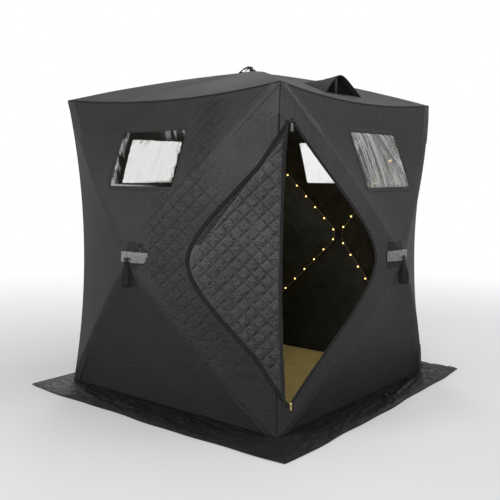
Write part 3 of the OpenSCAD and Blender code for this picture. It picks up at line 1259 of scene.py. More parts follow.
@dataclass(frozen=True)
class FoamFinish:
    """Tan foam mat with a pebbled skin and scuffs."""

    name: str = "tan foam"
    colour: Colour = (0.67, 0.545, 0.238)
    pebbles: float = 160

    def make(self) -> Material:
        """Builds the material, on Object coordinates.

        Returns:
            The material.
        """
        desk = NodeDesk(self.name)
        where = desk.place()
        cells = desk.add("TexVoronoi")
        desk.feed(cells.inputs["Vector"], where)
        cells.inputs["Scale"].default_value = self.pebbles
        scuffs = desk.noise(where, 5, 5.0, 0.6)
        return desk.finish(
            Base_Color=desk.shades(scuffs, 0.35, 0.65, self.colour, 0.90, 1.06),
            Roughness=0.85,
            Specular_IOR_Level=0.2,
            Normal=desk.bump(scuffs, 0.003, desk.bump(cells.outputs["Distance"], 0.0010)),
        )


@dataclass(frozen=True)
class GlowFinish:
    """Warm glass of a string light bulb."""

    name: str = "warm bulb glass"
    glass: Colour = (0.9, 0.8, 0.6)
    glow: Colour = (1.0, 0.60, 0.13)
    thread: Colour = (1.0, 0.72, 0.24)
    strength: float = 2.8

    def make(self) -> Material:
        """Builds the material, whose glow colour wanders between the glow's and the thread's colour.

        Returns:
            The material.
        """
        desk = NodeDesk(self.name)
        haze = desk.span(desk.noise(desk.place(), 220, 2.0), 0.3, 0.7)
        return desk.finish(
            Base_Color=self.glass,
            Roughness=0.2,
            Emission_Color=desk.blend(haze, self.glow, self.thread),
            Emission_Strength=self.strength,
        )


class Finishes:
    """All materials of the hut, each made once."""

    def __init__(self) -> None:
        """Makes the materials."""
        smooth_cloth = {"quilt": 0.0, "streak": 0.0}
        # The walls' colours are their most lit tone; the attribute "shade" paints shade down from them.
        self.wall = ClothFinish("wall cloth", (0.105, 0.1005, 0.1040), crinkle=0.0032).make()
        self.wall_soft = ClothFinish(
            "smooth wall cloth", (0.105, 0.1020, 0.1030), quilt=0.5, streak=0.30, crinkle=0.0024
        ).make()
        # The door's cloth is the walls' cloth painted lighter, painted light on the door panel; low is painted shade
        # towards its foot.
        self.door = ClothFinish(
            "door cloth", (0.154, 0.1480, 0.1530), low=0.60, crinkle=0.0040, streak=0.0, quilt=0.9
        ).make()
        # The vent hood's cloth is the roof's cloth painted darker: painted shade on the hoods.
        self.roof, self.hood = (
            ClothFinish(name, colour, quilt=0.0, streak=streak, crinkle=0.0020, specular=0.05).make()
            for name, colour, streak in (
                ("roof cloth", (0.082, 0.0800, 0.0800), 0.16),
                ("vent hood cloth", (0.045, 0.0442, 0.0442), 0.10),
            )
        )
        self.skirt = ClothFinish(
            "skirt cloth", (0.020, 0.0188, 0.0180), crinkle=0.0038, roughness=0.48, specular=0.14, **smooth_cloth
        ).make()
        self.trim = ClothFinish("trim cloth", (0.036, 0.035, 0.035), crinkle=0.0005, **smooth_cloth).make()
        self.flap = ClothFinish(
            "storm flap cloth", (0.042, 0.041, 0.042), quilt=0.0, crinkle=0.0050, roughness=0.5, specular=0.25
        ).make()
        self.lining = PlainClothFinish(
            "black lining", (0.0150, 0.0145, 0.0105), rib=260, roughness=0.45, specular=0.30
        ).make()
        self.mesh = PlainClothFinish("vent mesh", (0.0045, 0.0045, 0.0042), rib=900, specular=0.03).make()
        self.binding = PlainClothFinish("binding tape", (0.014, 0.0136, 0.0136)).make()
        self.tape = PlainClothFinish("zip tape", (0.0100, 0.0098, 0.0098), worn=1.3).make()
        self.frame = ClothFinish("window frame cloth", (0.046, 0.0445, 0.045), crinkle=0.0010, **smooth_cloth).make()
        self.webbing = PlainClothFinish("black webbing", (0.014, 0.014, 0.014), rib=420, rib_height=0.0006).make()
        self.plastic = HardFinish("hub plastic", (0.010, 0.010, 0.011)).make()
        self.pole = HardFinish("pole glass fibre", (0.014, 0.014, 0.015), roughness=0.35).make()
        # The wire's golden colour is partly its own and partly painted light from the bulbs.
        self.wire = HardFinish("light wire", (0.24, 0.19, 0.095), roughness=0.5).make()
        self.strut = HardFinish("vent strut", (0.030, 0.029, 0.028), roughness=0.6, specular=0.1).make()
        self.silver = HardFinish("reflective patch", (0.28, 0.274, 0.270), roughness=0.6, specular=0.2).make()
        self.metal = HardFinish("zip metal", (0.62, 0.47, 0.22), metallic=0.9, roughness=0.35).make()
        # The vinyls' milky colour is partly their own cloudiness and partly painted glare on their folds.
        self.clear = VinylFinish("clear vinyl", (0.50, 0.49, 0.47), ior=1.08).make()
        self.cloudy = VinylFinish("creased vinyl", (0.47, 0.465, 0.44), ior=1.12, roughness=0.06).make()
        self.zip = ZipFinish().make()
        self.foam = FoamFinish().make()
        self.glow = GlowFinish().make()


@dataclass
class Trade:
    """One kind of work on the hut, which takes the shared finishes."""

    finishes: Finishes

    def build(self) -> None:
        """Builds the pieces; each trade has its own."""
        raise NotImplementedError


def edge_distance(places: Points, outline: Points) -> Points:
    """Distance of flat places to the nearest part of a closed outline.

    Args:
        places: Rows of flat coordinates.
        outline: Corners of the outline, in order.

    Returns:
        The distances.
    """
    nearest = np.full(len(places), np.inf)
    for start, end in zip(outline, np.roll(outline, -1, axis=0)):
        along = end - start
        share = np.clip((places - start) @ along / max(along @ along, 1e-12), 0, 1)
        nearest = np.minimum(nearest, np.linalg.norm(places - start - share[:, None] * along, axis=1))
    return nearest


def wall_x(flat: Points) -> Points:
    """Distance right of the middle of the wall that each flat place is on."""
    return (flat[:, 0] + SIZES.half) % (2 * SIZES.half) - SIZES.half


def over_poles(x: Points, z: Points) -> Points:
    """How far places are over a wall's upper pole lines, in shares of the height from the hub to the eave."""
    return (z - SIZES.hub_height) / (SIZES.eave - SIZES.hub_height) - np.abs(x) / SIZES.half


def rim_distance(flat: Points) -> Points:
    """Distance of flat places on the walls to the nearest corner, eave or base of the hut."""
    beside = SIZES.half - np.abs(wall_x(flat))
    return np.minimum(beside, np.minimum(SIZES.eave - flat[:, 1], flat[:, 1] - SIZES.base))


WINDOW_ARC = 5
WINDOW_STEP = 0.03


def window_outline(side: Side, grow: float = 0.0) -> Points:
    """Outline of a wall's window in flat coordinates, larger by a distance all round.

    Args:
        side: The wall.
        grow: Distance by which it is larger.

    Returns:
        Rows of flat coordinates, anticlockwise.
    """
    size = SIZES
    reach = (size.window_width / 2 + grow - size.window_round, size.window_height / 2 + grow - size.window_round)
    outline = []
    for quarter, (i, j) in enumerate(((1, 1), (-1, 1), (-1, -1), (1, -1))):
        turn = np.radians(np.linspace(90 * quarter, 90 * quarter + 90, WINDOW_ARC))
        corner = np.array([i * reach[0], size.window_middle + j * reach[1]])
        outline.append(corner + size.window_round * stack(np.cos(turn), np.sin(turn)))
    corners = np.concatenate(outline)
    dense = []
    for start, end in zip(corners, np.roll(corners, -1, axis=0)):
        count = max(1, round(math.dist(start, end) / WINDOW_STEP))
        dense += [start + (end - start) * n / count for n in range(count)]
    return WALLS.flatten(np.array(dense)) + np.array([side.middle, 0.0])


@dataclass(frozen=True)
class DoorOutline:
    """The door's edge on the unrolled walls: a round-sided diamond whose middle is the fold.

    Attributes:
        middle: Unrolled place of its top and bottom tip.
        height: Height of its side tips.
        rise: Half its height.
        soft_corner: Distance from the hut's corner over which the outline goes from one wall to the next.
        fold_in: How far the fold stays left of the middle.
        fold_bow: How much further it bows in at half height.
    """

    middle: float = SIZES.half + SIZES.fold
    height: float = (SIZES.door_top + SIZES.door_bottom) / 2
    rise: float = (SIZES.door_top - SIZES.door_bottom) / 2
    soft_corner: float = 0.12
    fold_in: float = 0.016
    fold_bow: float = 0.018

    def fold(self, north: Points) -> Points:
        """Unrolled place of the fold at heights: the hanging cloth draws it in, most at half height."""
        share = np.clip((north - self.height) / self.rise, -1, 1)
        return self.middle - self.fold_in - self.fold_bow * (1 - share**2)

    def flat(self, grow: float = 0.0, steps: int = 48) -> Points:
        """The outline on the unrolled cloth, anticlockwise from the bottom, smooth where it goes round the corner.

        Args:
            grow: Distance by which it is larger.
            steps: Number of points on each side.

        Returns:
            Rows of flat coordinates.
        """
        size = 1 + grow * math.hypot(SIZES.door_half, self.rise) / (SIZES.door_half * self.rise)
        t = np.linspace(-1, 1, steps + 1)
        u = 1 - np.abs(t)
        share = u * (1 + u * (1 - u**4) / 4)
        right = stack(self.middle + size * SIZES.door_half * share, self.height + size * self.rise * t)
        left = stack(2 * self.middle - right[:, 0], right[:, 1])
        target = np.concatenate([right, left[-2:0:-1]])
        flat = target.copy()
        for _ in range(20):
            wall = np.where(flat[:, 0] < SIZES.half, 0.0, 1.0)
            local = stack(flat[:, 0] - wall * 2 * SIZES.half, flat[:, 1])
            pull = WALLS.local(local)[:, [0, 2]] - local
            flat = target - pull * smooth(0.0, self.soft_corner, np.abs(flat[:, 0] - SIZES.half))[:, None]
        return flat

    def closed_half(self, grow: float, back: float = 0.0) -> Points:
        """Outline of the zipped half: the left part of the door's edge and the fold.

        Args:
            grow: Distance by which the door's edge is larger.
            back: Distance by which the fold is moved inwards.

        Returns:
            Rows of flat coordinates, anticlockwise from the bottom.
        """
        edge = self.flat(grow)
        low, high = edge[:, 1].min() + 0.001, edge[:, 1].max() - 0.001
        north = np.linspace(low, high, 25)
        left = edge[len(edge) // 2 + 1 :]
        left = left[left[:, 0] < self.fold(left[:, 1]) - back - 0.002]
        return np.concatenate([stack(self.fold(north) - back, north), left])

    def corner_height(self, top: bool) -> float:
        """Height at which the outline crosses the hut's corner.

        Args:
            top: Whether the upper crossing is meant.

        Returns:
            The height in metres.
        """
        flat = self.flat(0.0, 200)
        half = flat[(flat[:, 1] > self.height) == top]
        return float(half[np.argmin(np.abs(half[:, 0] - SIZES.half)), 1])


DOOR = DoorOutline()


@dataclass
class SewnPanel:
    """A cloth panel that is cut flat on the quilting's lattice and then stretched over its skin.

    Attributes:
        name: Name of the piece.
        skin: What it is stretched over.
        corners: Corners of its convex flat outline, in order.
        cells: Lattice steps in a diamond's side.
        centre: Flat place whose stitch lines cross, so that the lattice runs through the stitches.
        piece: The panel's object, flat until it is stretched.
        flat_size: Width, length and area of the flat cut, known once it is stretched.
    """

    name: str
    skin: StretchedSkin
    corners: Points
    cells: int = 6
    centre: tuple[float, float] = (SIZES.half, SIZES.hub_height)
    piece: Thing = field(init=False)
    flat_size: tuple[float, float, float] = field(init=False)

    def __post_init__(self) -> None:
        """Lays the lattice over the outline and trims it; the panel's flat places are its x and y."""
        step = SIZES.diamond / (self.cells * math.sqrt(2))
        low, high = self.corners.min(axis=0), self.corners.max(axis=0)
        middle = (low + high) / 2 - np.array(self.centre)
        p = round((middle[0] + middle[1]) / math.sqrt(2) / step)
        q = round((middle[1] - middle[0]) / math.sqrt(2) / step)
        spot = np.array([(p - q), (p + q)]) * step / math.sqrt(2) + np.array(self.centre)
        count = 2 * math.ceil((float(sum(high - low)) / math.sqrt(2) + 6 * step) / step / 2)
        Bench.hold()
        bpy.ops.mesh.primitive_grid_add(
            x_subdivisions=count,
            y_subdivisions=count,
            size=count * step,
            location=(*spot, 0),
            rotation=(0, 0, math.pi / 4),
        )
        self.piece = Bench.start(self.name)
        middle = self.corners.mean(axis=0)
        for start, end in zip(self.corners, np.roll(self.corners, -1, axis=0)):
            normal = np.array([(end - start)[1], -(end - start)[0]])
            if (middle - start) @ normal > 0:
                normal = -normal
            Bench.edit(self.piece)
            bpy.ops.mesh.bisect(plane_co=(*start, 0), plane_no=(*normal, 0), clear_outer=True, threshold=1e-6)
            Bench.close()

    def punch(self, outline: Points, keep: bool = False) -> None:
        """Cuts an outline out of the flat panel with a prism.

        Args:
            outline: Flat places round the outline, in order.
            keep: Whether what is inside the outline stays, instead of what is outside.
        """
        Bench.hold()
        bpy.ops.mesh.primitive_circle_add(vertices=len(outline), radius=1, fill_type="NGON")
        cutter = Bench.start("cutter")
        if np.cross(outline, np.roll(outline, -1, axis=0)).sum() < 0:
            outline = outline[::-1]
        Bench.move(cutter, stack(outline[:, 0], outline[:, 1], -0.01))
        Bench.edit(cutter)
        bpy.ops.mesh.extrude_region_move(TRANSFORM_OT_translate={"value": (0, 0, 0.02)})
        Bench.close()
        Bench.outward(cutter)
        operation = "INTERSECT" if keep else "DIFFERENCE"
        Bench.apply(self.piece, "BOOLEAN", operation=operation, solver="FAST", object=cutter)
        bpy.data.objects.remove(cutter)

    def stretch(self, height: Place, **marks: Place) -> None:
        """Lifts the flat panel onto its skin.

        Args:
            height: Relief in metres at flat places.
            marks: What each attribute of the panel is at flat places.
        """
        flat = Bench.points(self.piece)[:, :2]
        self.flat_size = self.measure(flat)
        Bench.map_cloth(self.piece, flat)
        Bench.note(self.piece, **{name: value(flat) for name, value in marks.items()})
        Bench.move(self.piece, self.skin.lift(flat, height(flat)))

    def measure(self, flat: Points) -> tuple[float, float, float]:
        """Width, length and area of the flat cut, along the axes in which it wastes least cloth.

        Args:
            flat: Rows of flat coordinates.

        Returns:
            Width, length and area.
        """
        sizes = []
        for turn in np.radians(np.arange(0, 90, 3)):
            cos, sin = math.cos(turn), math.sin(turn)
            along, across = flat @ np.array([cos, sin]), flat @ np.array([-sin, cos])
            sizes.append((float(np.ptp(along)), float(np.ptp(across))))
        return *min(sizes, key=math.prod), sum(face.area for face in self.piece.data.polygons)

    def close(self, thick: float, *finishes: Material, outward: bool = False) -> Thing:
        """Dresses the stretched panel and gives it its thickness, with a lining if there are two finishes.

        Args:
            thick: Thickness in metres.
            outward: Whether it grows out of the face.
            finishes: Its materials.

        Returns:
            The finished panel.
        """
        Bench.dress(self.piece, *finishes)
        Bench.thicken(self.piece, thick, outward, lining=len(finishes) > 1)
        Bench.soften(self.piece)
        return self.piece


def declare(piece: Thing, panels: Sequence[SewnPanel]) -> None:
    """Works out the width and length of cloth that a piece's panels take, cut side by side from their flat sizes, and
    keeps neither.

    Args:
        piece: The piece; not used.
        panels: Its flat panels.
    """
    width = sum(min(panel.flat_size[:2]) for panel in panels)
    length = max(max(panel.flat_size[:2]) for panel in panels)


@dataclass(frozen=True)
class QuiltRelief:
    """Height of quilted cloth: a flat pillow in each diamond, crinkles in three directions and broad soft folds.

    Attributes:
        puff: Height of the pillows in metres.
        crinkle: Height of the crinkles.
        fold: Height of the broad folds.
        seed: Pattern of the crinkles and folds.
        flatness: Power that makes the pillows flat-topped, less than 1.
    """

    puff: float = 0.0038
    crinkle: float = 0.0024
    fold: float = 0.0036
    seed: Seed = Seed.WALL
    flatness: float = 0.34

    def height(self, flat: Points, strength: Points, fade: Points) -> Points:
        """Relief in metres.

        Args:
            flat: Flat places.
            strength: Strength of the quilting there.
            fade: Share of the relief that is left there, 0 at a seam.

        Returns:
            Heights out of the skin.
        """
        noise = CreaseNoise(self.seed)
        x, y = flat.T
        rise, fall = x - SIZES.half + y - SIZES.hub_height, x - SIZES.half - y + SIZES.hub_height
        waves = np.sin(math.pi * rise / SIZES.diamond) * np.sin(math.pi * fall / SIZES.diamond)
        pillow = np.abs(waves) ** self.flatness
        uneven = 0.5 + noise.at(x * 9, y * 9)
        crinkle = noise.folds(rise * 7 + 40, fall * 26 + 40, 2) + noise.folds(rise * 24 + 80, fall * 6 + 80, 2)
        crinkle = crinkle + noise.folds(x * 9 + 20, y * 32 + 20, 2)
        quilt = strength * (self.puff * pillow * uneven + self.crinkle * crinkle * (0.35 + 0.65 * pillow))
        return fade * (quilt + self.fold * (noise.rough(x * 3.1, y * 2.3, 2) - 0.5))


@dataclass
class WallCloth(Trade):
    """The walls' cloth: four gores on each side of the hut, with the window and door openings cut out.

    Attributes:
        relief: The quilting's relief.
        near_cells: Lattice steps in a diamond's side on the front wall, for each gore.
        side_cells: The same for the right wall.
        far_cells: The same for the two far walls.
    """

    relief: QuiltRelief = QuiltRelief()
    near_cells: tuple[int, int, int, int] = (9, 10, 8, 7)
    side_cells: int = 6
    far_cells: int = 4

    @staticmethod
    def quilting(flat: Points) -> Points:
        """Strength of the walls' quilting: full between front hub and door, faint where the cloth is smooth.

        Args:
            flat: Flat places.

        Returns:
            Strengths from 0 to 1.
        """
        x, z = flat.T
        start = 0.03 + 0.24 * smooth(1.34, 1.46, z) + 0.60 * np.maximum(0.95 - z, 0)
        front = 0.12 + 0.80 * smooth(start, start + 0.16, x) * (0.30 + 0.70 * smooth(0.15, 0.75, z))
        front *= 1 - 0.85 * smooth(0.46, 0.60, x) * smooth(1.28, 1.48, z)
        other = np.where(x > 2.70, 0.34, 0.12)
        away = smooth(0.86, 0.94, x)
        return np.clip(front * (1 - away) + other * away, 0, 1)

    @staticmethod
    def creases(flat: Points) -> Points:
        """Height of the slanted creases between the front window and the pole line beside the door.

        Args:
            flat: Rows of flat coordinates.

        Returns:
            Heights in metres.
        """
        x, z = flat.T
        rough = smooth(0.22, 0.34, x) * smooth(1.36, 1.50, z) * smooth(0.0, 0.06, over_poles(x, z))
        return 0.0050 * rough * CreaseNoise(Seed.FRONT).folds((x + z) * 5 + 40, (x - z) * 30 + 80, 2)

    @staticmethod
    def shade(flat: Points) -> Points:
        """Painted shade on the walls, by how light falls on each gore: most in the bottom gores and low down, with soft
        borders along the pole lines.

        Args:
            flat: Rows of flat coordinates.

        Returns:
            Painted shade from 0 to 1.
        """
        x, z = wall_x(flat), flat[:, 1]
        over = over_poles(x, z)
        under = (SIZES.hub_height - z) / (SIZES.hub_height - SIZES.base) - np.abs(x) / SIZES.half
        top, bottom = smooth(-0.03, 0.06, over), smooth(-0.03, 0.10, under)
        right_wall = smooth(SIZES.half - 0.02, SIZES.half + 0.02, flat[:, 0])
        door_side = np.where(flat[:, 0] > SIZES.half, x < 0, x > 0)
        # Painted light and shade: lighter high up and on the gores beside the door, darker on the top gores near the
        # eave and on the bottom gores.
        height = smooth(0.12, 1.75, z)
        by_door = 0.70 + 1.10 * height - 0.26 * right_wall * height
        plain = 0.71 + 0.22 * height + 0.38 * right_wall
        tone = np.where(door_side, by_door, plain) * (1 - top - bottom)
        by_eave = 0.36 * smooth(1.25, 1.85, z)
        tone = tone + top * (1.08 + 0.16 * smooth(0.1, 0.5, flat[:, 0]) - 0.34 * right_wall - by_eave)
        tone = tone + bottom * (0.70 + right_wall * (0.30 - 0.50 * smooth(0.60, 0.15, z)))
        brightest, spread = 1.8, 0.7
        return np.clip((brightest - tone) / (brightest * spread), 0, 1)

    def gore(self, side: Side, gore: Gore, name: str, openings: Sequence[Points] = (), part: str = "") -> SewnPanel:
        """Cuts one gore, stretches it and gives it its thickness and lining.

        Args:
            side: Wall that it belongs to.
            gore: Which of the wall's triangles it is.
            name: Name of the piece.
            openings: Flat outlines that are cut out of it.
            part: "upper" or "lower" for half of a side gore.

        Returns:
            The finished panel.
        """
        cuts = np.array(WALLS.gores[gore.value].cuts, float)
        if part:
            tip = max(cuts[1:], key=lambda cut: cut[1] if part == "upper" else -cut[1])
            cuts = np.array([cuts[0], tip, [cuts[1, 0], SIZES.hub_height]])
        cuts[:, 0] += side.middle
        near = self.near_cells[gore.value] if side is Side.FRONT else self.side_cells
        panel = SewnPanel(name, WALLS, cuts, near if side.near else self.far_cells)
        for outline in openings:
            panel.punch(outline)

        def height(flat: Points) -> Points:
            """Relief that fades out at the hut's edges and openings, roughest between front window and door.

            Args:
                flat: Rows of flat coordinates.

            Returns:
                Heights in metres.
            """
            away = np.min([rim_distance(flat)] + [edge_distance(flat, outline) for outline in openings], axis=0)
            fade = smooth(0.002, 0.045, away)
            return self.relief.height(flat, self.quilting(flat), fade) + fade * self.creases(flat)

        panel.stretch(height, quilt=self.quilting, shade=self.shade)
        smooth_cloth = side is not Side.FRONT or gore is Gore.LEFT
        panel.close(SIZES.cloth, self.finishes.wall_soft if smooth_cloth else self.finishes.wall, self.finishes.lining)
        return panel

    def build(self) -> None:
        """Builds all wall panels."""
        door = DOOR.flat()
        for side in Side:
            word = side.word
            plan = {
                f"{word}_wall_top": [(Gore.TOP, [window_outline(side)], "")],
                f"{word}_wall_bottom": [(Gore.BOTTOM, [], "")],
            }
            if side.near:
                plain, doored = (Gore.LEFT, Gore.RIGHT) if side is Side.FRONT else (Gore.RIGHT, Gore.LEFT)
                plan[f"{word}_wall_side"] = [(plain, [], "")]
                plan |= {f"{word}_door_side_{part}": [(doored, [door], part)] for part in ("upper", "lower")}
            else:
                plan[f"{word}_wall_sides"] = [(Gore.LEFT, [], ""), (Gore.RIGHT, [], "")]
            for node, gores in plan.items():
                panels = [self.gore(side, gore, f"{node}_{gore.value}", cut, part) for gore, cut, part in gores]
                piece = Bench.join(f"{node}_cloth", [panel.piece for panel in panels])
                declare(piece, panels)
                ride(piece, "wall_fabric", node)


@dataclass
class RoofCloth(Trade):
    """The roof's four gores.

    Attributes:
        cells: Lattice steps in a diamond's side.
    """

    cells: int = 3

    @staticmethod
    def height(flat: Points) -> Points:
        """Soft folds that run from the hub to the eaves, fading out at the edges.

        Args:
            flat: Rows of flat coordinates.

        Returns:
            Heights in metres.
        """
        noise = CreaseNoise(Seed.ROOF)
        x, y = flat.T
        radius = np.maximum(np.abs(x), np.abs(y))
        turn = np.arctan2(y, x)
        folds = noise.rough(5 * np.cos(turn) + radius + 40, 5 * np.sin(turn) + radius + 40, 2) - 0.5
        fine = noise.rough(x * 25 + 60, y * 25 + 60, 2) - 0.5
        return smooth(0.002, 0.06, SIZES.half - radius) * (0.008 * folds * smooth(0.05, 0.3, radius) + 0.0015 * fine)

    def build(self) -> None:
        """Builds the four roof panels."""
        half = SIZES.half
        for side in Side:
            cuts = turned(np.array([[0, 0, 0], [half, -half, 0], [-half, -half, 0]], float), side.value)[:, :2]
            panel = SewnPanel(f"roof_{side.word}_cloth", ROOF, cuts, self.cells, (0.0, 0.0))
            panel.stretch(self.height)
            piece = panel.close(SIZES.cloth, self.finishes.roof, self.finishes.lining)
            declare(piece, [panel])
            ride(piece, "roof_fabric", f"roof_{side.word}")


@dataclass
class Band:
    """A strip of cloth, tape or webbing along a line.

    Attributes:
        name: Name of the piece.
        place: Gives the strip's points for rows of a share along it and metres across it.
        length: Length along the line in metres.
        width: Whole width in metres.
        thick: Thickness in metres.
        step: Length of a cell along the line.
        columns: Number of cells across.
        closed: Whether the strip's ends meet.
        shade: Painted shade on its cloth, from 0 to 1.
    """

    name: str
    place: Place
    length: float
    width: float
    thick: float = 0.0010
    step: float = 0.012
    columns: int = 8
    closed: bool = False
    shade: float = 0.5

    def build(self, out: Points | Spot, finish: Material) -> Thing:
        """Lays the strip and gives it its thickness.

        Args:
            out: Direction that its face looks at, mostly.
            finish: Its material.

        Returns:
            The finished strip.
        """
        piece = Bench.grid(self.name, max(2, math.ceil(self.length / self.step)), self.columns)
        spots = Bench.points(piece)
        flat = stack((spots[:, 0] + 1) / 2, spots[:, 1] * self.width / 2)
        Bench.map_cloth(piece, flat * np.array([self.length, 1.0]))
        Bench.note(piece, shade=np.full(len(flat), self.shade))
        Bench.move(piece, self.place(flat))
        if self.closed:
            Bench.weld(piece, 1e-5)
        Bench.face_towards(piece, out)
        Bench.thicken(piece, self.thick, outward=True)
        Bench.dress(piece, finish)
        Bench.soften(piece)
        return piece


class ClothPath:
    """A line on the unrolled cloth that bands follow."""

    def __init__(self, points: Points, closed: bool = False) -> None:
        """Measures the line through flat points, whose last one may join the first.

        Args:
            points: Rows of flat coordinates.
            closed: Whether the last one joins the first.
        """
        self.points = np.concatenate([points, points[:1]]) if closed else points
        self.marks = np.concatenate([[0], np.cumsum(np.linalg.norm(np.diff(self.points, axis=0), axis=1))])
        self.closed = closed

    @property
    def length(self) -> float:
        """Length of the line in metres."""
        return float(self.marks[-1])

    def at(self, share: Points, across: Points) -> Points:
        """Flat places beside the line.

        Args:
            share: Shares of the way along it.
            across: Distances to its right.

        Returns:
            Rows of flat coordinates.
        """

        def along(value: Points) -> Points:
            """Points of the line at distances from its start."""
            value = value % self.length if self.closed else np.clip(value, 0, self.length)
            return stack(*(np.interp(value, self.marks, self.points[:, i]) for i in (0, 1)))

        spot = share * self.length
        way = unit(along(spot + 0.006) - along(spot - 0.006))
        return along(spot) + stack(way[:, 1], -way[:, 0]) * across[:, None]


@dataclass
class Seams(Trade):
    """Ends of the pole pockets, corner seams, eave seams and the patches that strengthen the corners.

    Attributes:
        pocket_width: Width of a pole pocket.
        pocket_shift: How far its middle lies beside the pole line.
        pocket_end: Share of the way from the hub to the corner where it shows.
        inside: How far it stays inside its wall.
        swell: Height of the bead on a seam or hem.
    """

    pocket_width: float = 0.056
    pocket_shift: float = 0.014
    pocket_end: float = 0.72
    inside: float = 0.001
    swell: float = 0.0016

    def pocket(self, side: Side, east: int, up: int) -> None:
        """Sewn-on end of a pole pocket near a corner of a wall.

        Args:
            side: The wall.
            east: 1 for the right corners, -1 for the left ones.
            up: 1 for the top corners, 0 for the base.
        """
        hub = np.array([side.middle, SIZES.hub_height])
        corner = np.array([side.middle + east * SIZES.half, SIZES.eave if up else SIZES.base])
        path = ClothPath(np.array([hub + (corner - hub) * self.pocket_end, corner]))
        shift = self.pocket_shift * (-east if up else east)

        def place(rows: Points) -> Points:
            """The pocket's face, with a bead of stitching along both edges, sinking into the cloth at its end.

            Args:
                rows: Rows of a share along the strip and metres across it.

            Returns:
                Rows of x, y, z.
            """
            stitches = 0.0046 * bead(self.pocket_width / 2 - 0.005 - np.abs(rows[:, 1]), 0.0028)
            flat = path.at(rows[:, 0], rows[:, 1] + shift)
            middle, inside = side.middle, self.inside
            flat[:, 0] = np.clip(flat[:, 0], middle - SIZES.half + inside, middle + SIZES.half - inside)
            flat[:, 1] = np.clip(flat[:, 1], SIZES.base + inside, SIZES.eave - inside)
            return WALLS.lift(flat, stitches + 0.0012 * smooth(0.0, 0.12, rows[:, 0]) - 0.0008)

        name = f"{side.word}_pole_pocket_{'upper' if up else 'lower'}_{'right' if east > 0 else 'left'}"
        # Painted shade matching the walls' painted shade round the pocket: lightest at the top beside the door, darkest
        # at the base.
        by_door = (side, east) in ((Side.FRONT, 1), (Side.RIGHT, -1))
        shade = (0.30 if by_door else 0.58) if up else 0.85
        strip = Band(name, place, path.length, self.pocket_width, step=0.010, columns=26, shade=shade)
        ride(strip.build(side.out, self.finishes.wall_soft), "wall_fabric")

    def eave(self, side: Side) -> None:
        """Rolled seam along a wall's eave, half on the wall and half on the roof.

        Args:
            side: The wall.
        """

        def place(rows: Points) -> Points:
            """The seam's face, rolled over the edge.

            Args:
                rows: Rows of a share along the strip and metres across it.

            Returns:
                Rows of x, y, z.
            """
            x = (rows[:, 0] * 2 - 1) * SIZES.half * 0.999
            wall = stack(x + side.middle, SIZES.eave - np.maximum(rows[:, 1], 0.0004))
            roof = turned(stack(x, -SIZES.half + np.maximum(-rows[:, 1], 0.0004), 0), side.value)[:, :2]
            swell = 0.0008 + self.swell * bead(rows[:, 1], 0.004)
            share = smooth(0.004, -0.004, rows[:, 1])[:, None]
            return WALLS.lift(wall, swell) * (1 - share) + ROOF.lift(roof, swell) * share

        strip = Band(f"{side.word}_eave_seam", place, 2 * SIZES.half, 0.014)
        ride(strip.build(side.out + np.array([0, 0, 1.0]), self.finishes.binding), "wall_fabric")

    def corner(self, side: Side, low: float, high: float, name: str) -> None:
        """Seam down the corner on a wall's right.

        Args:
            side: The wall.
            low: Height of its lower end.
            high: Height of its upper end.
            name: Name of the piece.
        """
        east = side.middle + SIZES.half

        def place(rows: Points) -> Points:
            """The seam's face, folded round the corner."""
            flat = stack(east + rows[:, 1], low + rows[:, 0] * (high - low))
            return WALLS.lift(flat, 0.0006 + self.swell * bead(rows[:, 1], 0.003))

        strip = Band(name, place, high - low, 0.009, columns=6)
        ride(strip.build(side.out + Side((side.value + 1) % 4).out, self.finishes.binding), "wall_fabric")

    def base(self, side: Side) -> None:
        """Folded hem where a wall meets the snow skirt.

        Args:
            side: The wall.
        """

        def place(rows: Points) -> Points:
            """The hem's face."""
            flat = stack((rows[:, 0] * 2 - 1) * SIZES.half + side.middle, SIZES.base + 0.009 + rows[:, 1])
            return WALLS.lift(flat, 0.0008 + self.swell * smooth(0.0, -0.008, rows[:, 1]))

        strip = Band(f"{side.word}_base_hem", place, 2 * SIZES.half, 0.016, step=0.015, columns=4)
        ride(strip.build(side.out, self.finishes.binding), "wall_fabric")

    def patch(self, side: Side, name: str, corners: Points) -> None:
        """Second layer of cloth sewn on where the poles push into a corner.

        Args:
            side: Wall that it is sewn to.
            name: Name of the piece.
            corners: Corners of its outline in that wall's flat coordinates.
        """
        panel = SewnPanel(name, WALLS, corners + np.array([side.middle, 0.0]))

        def height(flat: Points) -> Points:
            """The patch's face, raised along its hem."""
            return 0.0006 + 0.0022 * smooth(0.009, 0.0, edge_distance(flat, panel.corners))

        panel.stretch(height, shade=WallCloth.shade)
        ride(panel.close(0.0010, self.finishes.wall_soft, outward=True), "wall_fabric")

    def build(self) -> None:
        """Builds all seams."""
        eave, low, high = SIZES.eave, SIZES.base + 0.004, SIZES.eave - 0.004
        for side in Side:
            for east, up in ((-1, 0), (-1, 1), (1, 0), (1, 1)):
                self.pocket(side, east, up)
            self.eave(side)
            self.base(side)
            if side is Side.FRONT:
                self.corner(side, DOOR.corner_height(True) + 0.014, high, "front_corner_seam_upper")
                self.corner(side, low, DOOR.corner_height(False) - 0.014, "front_corner_seam_lower")
            else:
                self.corner(side, low, high, f"{side.word}_corner_seam")
        inward = np.array([[0.002, 0.004], [0.150, 0.167], [0.072, 0.215], [0.002, 0.165]])
        top = np.array([SIZES.half, eave]) - inward
        self.patch(Side.FRONT, "front_corner_patch", top)
        self.patch(Side.RIGHT, "right_corner_patch", top[::-1] * np.array([-1, 1]))


